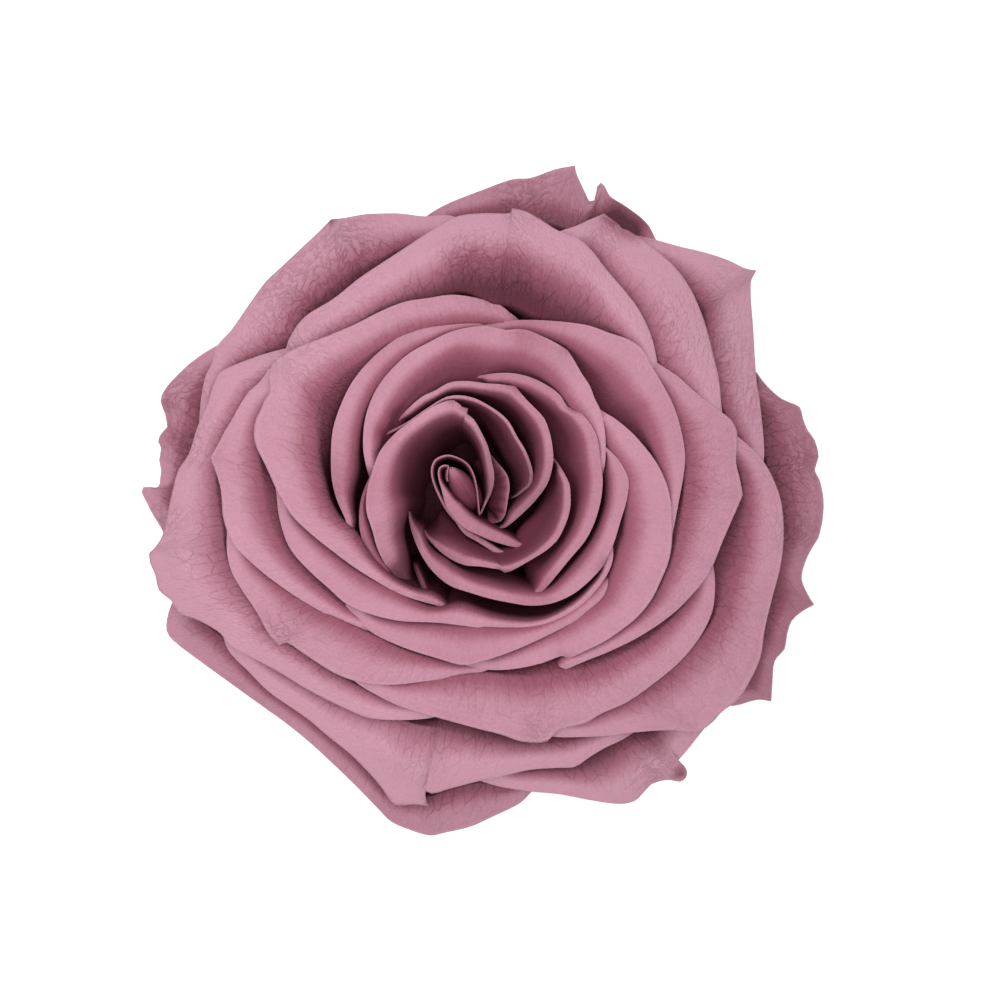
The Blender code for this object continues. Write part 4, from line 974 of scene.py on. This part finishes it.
# The turned solids as radius, height and lean, and their points round, rows to a step and swell
RECEPTACLE = (
    (4.6, 11.6, 0.0), (5.3, 12.2, 0.0), (9.2, 15.3, 0.0), (13.0, 19.8, 0.0), (14.8, 24.2, 0.0),
    (14.6, 28.8, 0.0), (12.1, 30.2, 0.0), (7.0, 31.4, 0.4), (3.0, 32.4, 0.8), (0.4, 32.6, 0.8),
)
RECEPTACLE_BUILD = (72, 4, 0.03)
HIP = (
    (3.4, 0.02, 0.0), (3.42, 0.3, 0.0), (3.3, 1.8, 0.0), (3.3, 3.4, 0.0), (4.6, 4.8, 0.0), (6.3, 7.2, 0.0),
    (6.5, 9.2, 0.0), (5.4, 11.0, 0.0), (5.0, 11.7, 0.0),
)
HIP_BUILD = (80, 6, 0.035)
SWELL_RISE = 0.25
SWELL_SCALE = 1.7
# How nearly downwards a face of the cut end looks, and how high it lies in millimetres at most
CUT_FACING = -0.9
CUT_HEIGHT = 0.2

# A sepal: the radius and height of its lines, their shares of its width, the points across, and the rows
SEPAL_LINE = ((4.2, 9.6), (7.6, 10.9), (10.8, 9.7), (13.6, 6.6), (15.6, 3.2), (17.8, 0.45))
SEPAL_SHAPE = (0.62, 0.92, 1.0, 0.78, 0.46, 0.06)
SEPAL_POINTS = 25
SEPAL_ROWS = (8, 10, 12, 12, 14)
SEPAL_ARCH = 0.10
RIB_HEIGHT = 0.28
RIB_WIDTH = 0.10
SEPAL_SINK = 0.10
# The depth of its teeth and of its edges' curl, each with its turn from row to row
TEETH = (0.22, 1.9)
CURL = (0.18, 0.7)
EDGE_POWER = 6
SEPAL_LOWEST = 0.32
SEPAL_THICKNESS = (0.9, 0.45)
SEPAL_SCATTER = 0.05
SEPAL_SEED = 3

# The hairs in metres: their length, their radius at the foot and at the tip, and how low they start to grow
HAIR_LENGTH = 0.0006
HAIR_WIDTH = 0.00004
HAIR_TIP = 0.00001
HAIR_LOWEST = 0.001
HAIR_SIDES = 5
HAIR_SHORTEST = 0.5
HAIR_SEED = 5
# The kind of a geometry node tree's input for each kind of value
SOCKETS = {int: "NodeSocketInt", float: "NodeSocketFloat", bpy.types.Material: "NodeSocketMaterial"}


def turned(name, profile, sides, per_step, wobble, material):
    """A closed solid turned from a profile of radius, height and lean towards the heart's axis."""
    controls = [np.array([[radius, height, lean]]) for radius, height, lean in profile]
    smooth = spline_rows(controls, [per_step] * (len(profile) - 1))[:, 0]
    built = bmesh.new()
    rings = []
    for radius, height, lean in smooth:
        ring = []
        for side in range(sides):
            turn = 2.0 * math.pi * side / sides
            place = Vector((math.cos(turn), math.sin(turn), height * SWELL_RISE))
            swell = radius * (1.0 + wobble * noise.noise(place * SWELL_SCALE))
            x = HEART_AXIS[0] * lean + swell * math.cos(turn)
            y = HEART_AXIS[1] * lean + swell * math.sin(turn)
            ring.append(built.verts.new(Vector((x, y, height)) * MM))
        rings.append(ring)
    for lower, upper in zip(rings, rings[1:]):
        for side in range(sides):
            ahead = (side + 1) % sides
            built.faces.new((lower[side], lower[ahead], upper[ahead], upper[side]))
    for ring, order in ((rings[0], -1), (rings[-1], 1)):
        middle = built.verts.new(sum((v.co for v in ring), Vector()) / sides)
        for side in range(sides):
            built.faces.new((ring[side], ring[(side + 1) % sides], middle)[::order])
    bmesh.ops.recalc_face_normals(built, faces=built.faces)
    mesh = bpy.data.meshes.new(name)
    built.to_mesh(mesh)
    built.free()
    return linked(name, mesh, material)


def grown(made, name, grow, values):
    """Replaces the object's mesh by what a geometry node tree grows on it, with these named inputs."""
    tree = bpy.data.node_groups.new(name, "GeometryNodeTree")
    tree.interface.new_socket("Geometry", in_out="INPUT", socket_type="NodeSocketGeometry")
    for label, value in values.items():
        socket = tree.interface.new_socket(label, in_out="INPUT", socket_type=SOCKETS[type(value)])
        socket.default_value = value
    tree.interface.new_socket("Geometry", in_out="OUTPUT", socket_type="NodeSocketGeometry")
    given = tree.nodes.new("NodeGroupInput").outputs
    real = node(tree, "GeometryNodeRealizeInstances", {0: grow(tree, given).outputs[0]})
    done = node(tree, "GeometryNodeSetMaterial", {
        "Geometry": real.outputs[0], "Material": given["Material"],
    })
    tree.links.new(done.outputs[0], tree.nodes.new("NodeGroupOutput").inputs[0])

    modifier = made.modifiers.new(name, "NODES")
    modifier.node_group = tree
    for item in tree.interface.items_tree:
        if item.name in values:
            modifier[item.identifier] = values[item.name]
    graph = bpy.context.evaluated_depsgraph_get()
    result = bpy.data.meshes.new_from_object(made.evaluated_get(graph))
    made.modifiers.clear()
    made.data = result


def sepals_round_hip(tree, given):
    """Copies of one sepal turned round the hip, each a little different."""
    points = node(tree, "GeometryNodePoints", {"Count": given["Count"]})
    index = tree.nodes.new("GeometryNodeInputIndex").outputs[0]
    step = maths(tree, "DIVIDE", 2.0 * math.pi, given["Count"])
    turn = maths(tree, "MULTIPLY_ADD", index, step, given["Turn"])
    low = maths(tree, "MULTIPLY", given["Scatter"], -1.0)
    stray = node(tree, "FunctionNodeRandomValue", {2: low, 3: given["Scatter"], "Seed": given["Seed"]},
                 data_type="FLOAT")
    turn = maths(tree, "ADD", turn, stray.outputs[1])
    angles = node(tree, "ShaderNodeCombineXYZ", {2: turn}).outputs[0]
    return node(tree, "GeometryNodeInstanceOnPoints", {
        "Points": points.outputs[0], "Instance": given["Geometry"], "Rotation": angles,
    })


def hairs_on_skin(tree, given):
    """Short stiff hairs scattered over a surface, standing out along its normals."""
    place = tree.nodes.new("GeometryNodeInputPosition").outputs[0]
    height = node(tree, "ShaderNodeSeparateXYZ", {"Vector": place}).outputs[2]
    scattered = node(tree, "GeometryNodeDistributePointsOnFaces", {
        "Mesh": given["Geometry"], "Density": given["Density"], "Seed": given["Seed"],
        "Selection": maths(tree, "GREATER_THAN", height, given["Lowest"]),
    })
    cone = node(tree, "GeometryNodeMeshCone", {
        "Vertices": HAIR_SIDES, "Radius Top": HAIR_TIP, "Radius Bottom": given["Width"],
        "Depth": given["Length"],
    })
    size = node(tree, "FunctionNodeRandomValue", {2: HAIR_SHORTEST, 3: 1.0, "Seed": given["Seed"]},
                data_type="FLOAT")
    return node(tree, "GeometryNodeInstanceOnPoints", {
        "Points": scattered.outputs["Points"], "Instance": cone.outputs["Mesh"],
        "Rotation": scattered.outputs["Rotation"], "Scale": size.outputs[1],
    })


def sepal_mesh(name, sizes):
    """One sepal along +X: folded back, arched across, with a midrib, pointed, and toothed at its edges."""
    controls = []
    width = sizes.sepal_width / MM
    across = np.linspace(-1.0, 1.0, SEPAL_POINTS)
    for (radius, height), share in zip(SEPAL_LINE, SEPAL_SHAPE):
        half = width / 2.0 * share
        rib = RIB_HEIGHT * np.exp(-((across / RIB_WIDTH) ** 2))
        controls.append(np.column_stack([
            radius - SEPAL_ARCH * half * across**2, half * across, height + rib - SEPAL_SINK]))
    rows = spline_rows(controls, SEPAL_ROWS)
    edge = np.abs(across) ** EDGE_POWER
    for i, row in enumerate(rows):
        tooth = TEETH[0] * math.sin(i * TEETH[1]) * math.sin(math.pi * i / len(rows))
        row[:, 1] += np.sign(row[:, 1]) * edge * tooth
        row[:, 2] += CURL[0] * edge * math.sin(i * CURL[1])
    rows[:, :, 2] = np.maximum(rows[:, :, 2], SEPAL_LOWEST)
    parts = MeshParts()
    thick = np.interp(np.arange(len(rows)), (0, len(rows) - 1), SEPAL_THICKNESS)
    parts.blade(rows, np.linspace(0.0, width, SEPAL_POINTS), thick, np.zeros(len(rows)), 0.0)
    return parts.build(name, None)


# Each ring's petals, the share of the ripple that they take, and what petal_finish asks for after the sizes
# The finish is the net, the fibres, the ring's painted shade (darker for rings lying deep in shade, paler
# for the outer ring), the depth where the painted deep shade is complete, and how much lighter that deep
# shade is painted
RINGS = {
    "bud": (BUD, 0.2, (0.1, 0.5, 0.55, 1.2, 1.5)),
    "heart": (HEART, 0.35, (0.1, 0.3, 0.42, 1.3, 1.8)),
    "inner": (INNER, 0.5, (0.2, 0.35, 0.26, 1.32, 1.5)),
    "middle": (MIDDLE, 0.7, (0.45, 0.4, 0.15, 1.4, 1.2)),
    "outer": (OUTER, 1.0, (0.55, 0.35, -0.12, 1.3, 1.0)),
    "guard": (GUARD, 1.3, (0.75, 0.35, 0.42, 1.6, 1.0)),
}
# Petals with a shade of their own: heart_7 and heart_8 are painted darker as shade, as they lie in shadow,
# and the others listed are painted darker or paler. The others swing a little to both sides, petal by petal.
TONES = {
    "heart_7": 0.6, "heart_8": 0.4, "outer_3": 0.2, "outer_4": 0.12, "guard_2": 0.1, "guard_3": -0.1,
    "guard_4": -0.2,
}
TONE_SWING = 0.05
TONE_STEP = 2.4
SEED_STEP = 7.0
# The share of a petal's rows after which it is thin, how thin its very edge is, and how deep in the flower
# the outsides of the wide petals look at most, which caps the painted shade on them
THIN_FROM = 0.6
EDGE_THINNESS = 0.5
BACK_DEPTH = 0.5
# Soft spots of painted shade and painted highlight: duskier where curled flaps, hollows and petal tails lie
# in shadow, paler where tips catch the light. Each is given as the middle and reach in millimetres, and the
# shade.
SHADE_AND_HIGHLIGHT_SPOTS = (
    (-19.5, 14.0, 4.5, -0.30), (-18.0, 25.5, 5.0, -0.10), (13.4, 28.6, 1.4, 1.5), (15.3, 27.3, 1.4, 1.5),
    (29.5, 8.0, 6.0, 0.10), (30.0, -14.0, 6.0, 0.15), (-30.5, 9.0, 4.0, 0.10), (3.0, 19.0, 6.0, 0.35),
    (24.5, 19.0, 6.0, -0.12), (-28.5, -8.0, 5.0, -0.10), (2.0, 16.2, 2.0, -0.15), (-8.2, -7.2, 1.6, 0.5),
    (-5.2, -9.8, 1.8, 0.35), (-14.2, 1.5, 3.0, 0.4), (5.5, -8.6, 2.0, 0.4), (4.2, 16.2, 1.6, 0.25),
    (-5.0, 9.0, 3.0, -0.2), (-9.9, 6.7, 1.0, 0.8), (-8.5, 8.4, 1.0, 0.8), (-5.0, -2.4, 1.6, 0.5),
    (19.9, -27.3, 0.9, 1.1), (-15.1, 27.9, 0.5, 1.0), (-30.6, 6.4, 1.3, 0.4), (-31.4, 9.6, 0.8, 0.4),
)
# Crumpled places of the dry petals, bumped in relief with their creases painted darker as shade: the middle
# and reach in millimetres, and how strong
CRUMPLES = (
    (4.5, 30.6, 3.2, 1.0), (12.5, 27.5, 2.0, 0.8), (-1.5, 24.5, 2.5, 0.7), (3.0, 22.5, 3.0, 0.4),
    (-13.0, 26.0, 3.0, 0.7), (-19.0, 22.5, 6.0, 0.8), (20.0, 18.0, 4.0, 0.35), (25.0, 15.0, 4.0, 0.4),
    (-19.5, 14.0, 3.5, 0.5), (-30.5, 11.0, 3.5, 0.8), (-29.5, 5.0, 2.5, 0.8), (-31.5, -2.0, 2.5, 0.8),
    (-20.5, -13.0, 2.2, 0.5), (5.5, -23.0, 2.0, 0.4), (17.5, -27.6, 2.4, 1.0), (31.5, -3.0, 2.5, 0.7),
    (31.5, 4.0, 3.0, 0.8), (28.0, 10.0, 3.0, 0.6), (25.5, 22.0, 2.0, 0.5),
)

# The sky's colour, the camera's place to the side in metres, its sensor in millimetres and its reach
SKY_COLOUR = (1.0, 0.985, 0.98, 1.0)
CAMERA_X = 0.0018
SENSOR_WIDTH = 36.0
FARTHEST_SEEN = 100.0
# The soft lights: name, width, tilt and turn, in degrees
LIGHTS = (("key", 60.0, 22.0, 135.0), ("top", 95.0, 3.0, 200.0))


def petal_piece(ring_name):
    """One piece with all the petals of a ring."""
    sizes = bpy.context.scene.rose_bloom
    ring, waves, look = RINGS[ring_name]
    petals = Petals(sizes.step / MM)
    parts = MeshParts()
    thin = sizes.rim_thickness / MM
    for number, petal in enumerate(ring):
        if ring_name == "bud":
            rows, length, depths = bud_surface(sizes, *petal[1:])
        else:
            rows, length, depths = petal_surface(petals, sizes, ring_name, *petal[:-1])
        rows = waved(rows, waves * sizes.ripple / MM, SEED_STEP * number + len(ring_name))
        count = len(rows)
        thick = np.interp(np.arange(count), (0, count * THIN_FROM, count - 2, count - 1), (
            sizes.root_thickness / MM, thin, thin, EDGE_THINNESS * thin))
        tone_and_shade = TONES.get(petal[0], TONE_SWING * math.sin(TONE_STEP * number + len(ring_name)))
        parts.blade(rows, length, thick, depths, tone_and_shade, BACK_DEPTH if ring_name in WIDE_RINGS else np.inf)
    if ring_name == "bud":
        rows, length, depths = bud_cone()
        parts.blade(rows, length, np.full(len(rows), CONE_THICKNESS), depths, 0.0)
    piece = parts.build(ring_name + "_petals", petal_finish("petal_%s_mauve" % ring_name, sizes, *look))
    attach(piece, "root")
    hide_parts("bloom")


class ROSE_OT_bud(bpy.types.Operator):
    """Make the rolled bud and the petals wrapped round it"""

    bl_idname = "rose.bud"
    bl_label = "Bud"

    def execute(self, context):
        petal_piece("bud")
        return {"FINISHED"}


class ROSE_OT_heart(bpy.types.Operator):
    """Make the ring of petals that opens round the bud"""

    bl_idname = "rose.heart"
    bl_label = "Heart petals"

    def execute(self, context):
        petal_piece("heart")
        return {"FINISHED"}


class ROSE_OT_inner(bpy.types.Operator):
    """Make the inner ring of petals"""

    bl_idname = "rose.inner"
    bl_label = "Inner petals"

    def execute(self, context):
        petal_piece("inner")
        return {"FINISHED"}


class ROSE_OT_middle(bpy.types.Operator):
    """Make the middle ring of petals"""

    bl_idname = "rose.middle"
    bl_label = "Middle petals"

    def execute(self, context):
        petal_piece("middle")
        return {"FINISHED"}


class ROSE_OT_outer(bpy.types.Operator):
    """Make the wide outer petals"""

    bl_idname = "rose.outer"
    bl_label = "Outer petals"

    def execute(self, context):
        petal_piece("outer")
        return {"FINISHED"}


class ROSE_OT_guard(bpy.types.Operator):
    """Make the ragged guard petals under all the others"""

    bl_idname = "rose.guard"
    bl_label = "Guard petals"

    def execute(self, context):
        petal_piece("guard")
        return {"FINISHED"}


class ROSE_OT_receptacle(bpy.types.Operator):
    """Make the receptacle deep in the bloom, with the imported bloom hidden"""

    bl_idname = "rose.receptacle"
    bl_label = "Receptacle"

    def execute(self, context):
        dark = plain_finish("petal_root_maroon", *ROOT_LOOK)
        piece = turned("receptacle", RECEPTACLE, *RECEPTACLE_BUILD, dark)
        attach(piece, "root")
        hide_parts("bloom")
        return {"FINISHED"}


class ROSE_OT_hip(bpy.types.Operator):
    """Make the hip with the cut stub of the stem, and the fine hairs on them"""

    bl_idname = "rose.hip"
    bl_label = "Hip"

    def execute(self, context):
        sizes = context.scene.rose_calyx
        piece = turned("hip", HIP, *HIP_BUILD, calyx_finish("hip_green", sizes))
        piece.data.materials.append(stub_finish("stub_pith", sizes))
        for face in piece.data.polygons:
            if face.normal.z < CUT_FACING and face.center.z < CUT_HEIGHT * MM:
                face.material_index = 1
                face.use_smooth = False
        hairs = bpy.data.objects.new("hip_hairs", piece.data.copy())
        context.scene.collection.objects.link(hairs)
        area = sum(face.area for face in piece.data.polygons)
        grown(hairs, "hairs_on_skin", hairs_on_skin, {
            "Density": sizes.hair_count / area, "Length": HAIR_LENGTH, "Width": HAIR_WIDTH,
            "Lowest": HAIR_LOWEST, "Seed": HAIR_SEED, "Material": calyx_finish("hair_green", sizes),
        })
        for made in (piece, hairs):
            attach(made, "root")
            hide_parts("calyx")
        return {"FINISHED"}


class ROSE_OT_sepals(bpy.types.Operator):
    """Make the sepals folded back under the bloom"""

    bl_idname = "rose.sepals"
    bl_label = "Sepals"

    def execute(self, context):
        sizes = context.scene.rose_calyx
        piece = sepal_mesh("sepals", sizes)
        grown(piece, "sepals_round_hip", sepals_round_hip, {
            "Count": sizes.sepal_count, "Turn": sizes.sepal_turn, "Scatter": SEPAL_SCATTER,
            "Seed": SEPAL_SEED, "Material": calyx_finish("sepal_green", sizes),
        })
        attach(piece, "root")
        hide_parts("calyx")
        return {"FINISHED"}


class ROSE_OT_stage(bpy.types.Operator):
    """Make the floor, the lights and the camera"""

    bl_idname = "rose.stage"
    bl_label = "Stage"

    def execute(self, context):
        sizes = context.scene.rose_stage
        scene = context.scene
        mesh = bpy.data.meshes.new("floor")
        half = sizes.floor_size / 2.0
        mesh.from_pydata([(-half, -half, 0), (half, -half, 0), (half, half, 0), (-half, half, 0)], [],
                         [(0, 1, 2, 3)])
        floor = bpy.data.objects.new("floor", mesh)
        scene.collection.objects.link(floor)
        mesh.materials.append(plain_finish("floor_white", *FLOOR_LOOK))

        powers = {"key": sizes.key_power, "top": sizes.top_power}
        for name, spread, tilt, turn in LIGHTS:
            data = bpy.data.lights.new(name, "SUN")
            data.energy = powers[name]
            data.angle = math.radians(spread)
            lamp = bpy.data.objects.new(name, data)
            lamp.rotation_euler = (math.radians(tilt), 0.0, math.radians(turn) + math.pi / 2.0)
            lamp.location = (0.0, 0.0, 1.0)
            scene.collection.objects.link(lamp)
        world = bpy.data.worlds.new("studio")
        world.use_nodes = True
        background = world.node_tree.nodes["Background"]
        background.inputs["Color"].default_value = SKY_COLOUR
        background.inputs["Strength"].default_value = sizes.sky
        scene.world = world

        data = bpy.data.cameras.new("camera")
        data.lens = sizes.lens
        data.sensor_width = SENSOR_WIDTH
        data.clip_end = FARTHEST_SEEN
        camera = bpy.data.objects.new("camera", data)
        camera.location = (CAMERA_X, 0.0, sizes.camera_height)
        scene.collection.objects.link(camera)
        scene.camera = camera
        scene.view_settings.view_transform = "Standard"
        return {"FINISHED"}


PIECES = (
    "bud", "heart", "inner", "middle", "outer", "guard", "receptacle", "hip", "sepals", "stage",
)


class ROSE_PT_panel(bpy.types.Panel):
    """The sizes and the steps of the rose head"""

    bl_label = "Preserved rose head"
    bl_idname = "ROSE_PT_panel"
    bl_space_type = "VIEW_3D"
    bl_region_type = "UI"
    bl_category = "Rose"

    def draw(self, context):
        for group in (context.scene.rose_bloom, context.scene.rose_calyx, context.scene.rose_stage):
            box = self.layout.box()
            for label in group.__annotations__:
                box.prop(group, label)
        for piece in PIECES:
            self.layout.operator("rose." + piece)


CLASSES = (
    RoseBloomSizes, RoseCalyxSizes, RoseStageSizes, ROSE_OT_bud, ROSE_OT_heart, ROSE_OT_inner,
    ROSE_OT_middle, ROSE_OT_outer, ROSE_OT_guard, ROSE_OT_receptacle, ROSE_OT_hip, ROSE_OT_sepals,
    ROSE_OT_stage, ROSE_PT_panel,
)


def register():
    for made in CLASSES:
        bpy.utils.register_class(made)
    bpy.types.Scene.rose_bloom = bpy.props.PointerProperty(type=RoseBloomSizes)
    bpy.types.Scene.rose_calyx = bpy.props.PointerProperty(type=RoseCalyxSizes)
    bpy.types.Scene.rose_stage = bpy.props.PointerProperty(type=RoseStageSizes)


def unregister():
    del bpy.types.Scene.rose_stage
    del bpy.types.Scene.rose_calyx
    del bpy.types.Scene.rose_bloom
    for made in reversed(CLASSES):
        bpy.utils.unregister_class(made)


def main():
    register()
    for piece in PIECES:
        getattr(bpy.ops.rose, piece)()


if __name__ == "__main__":
    main()
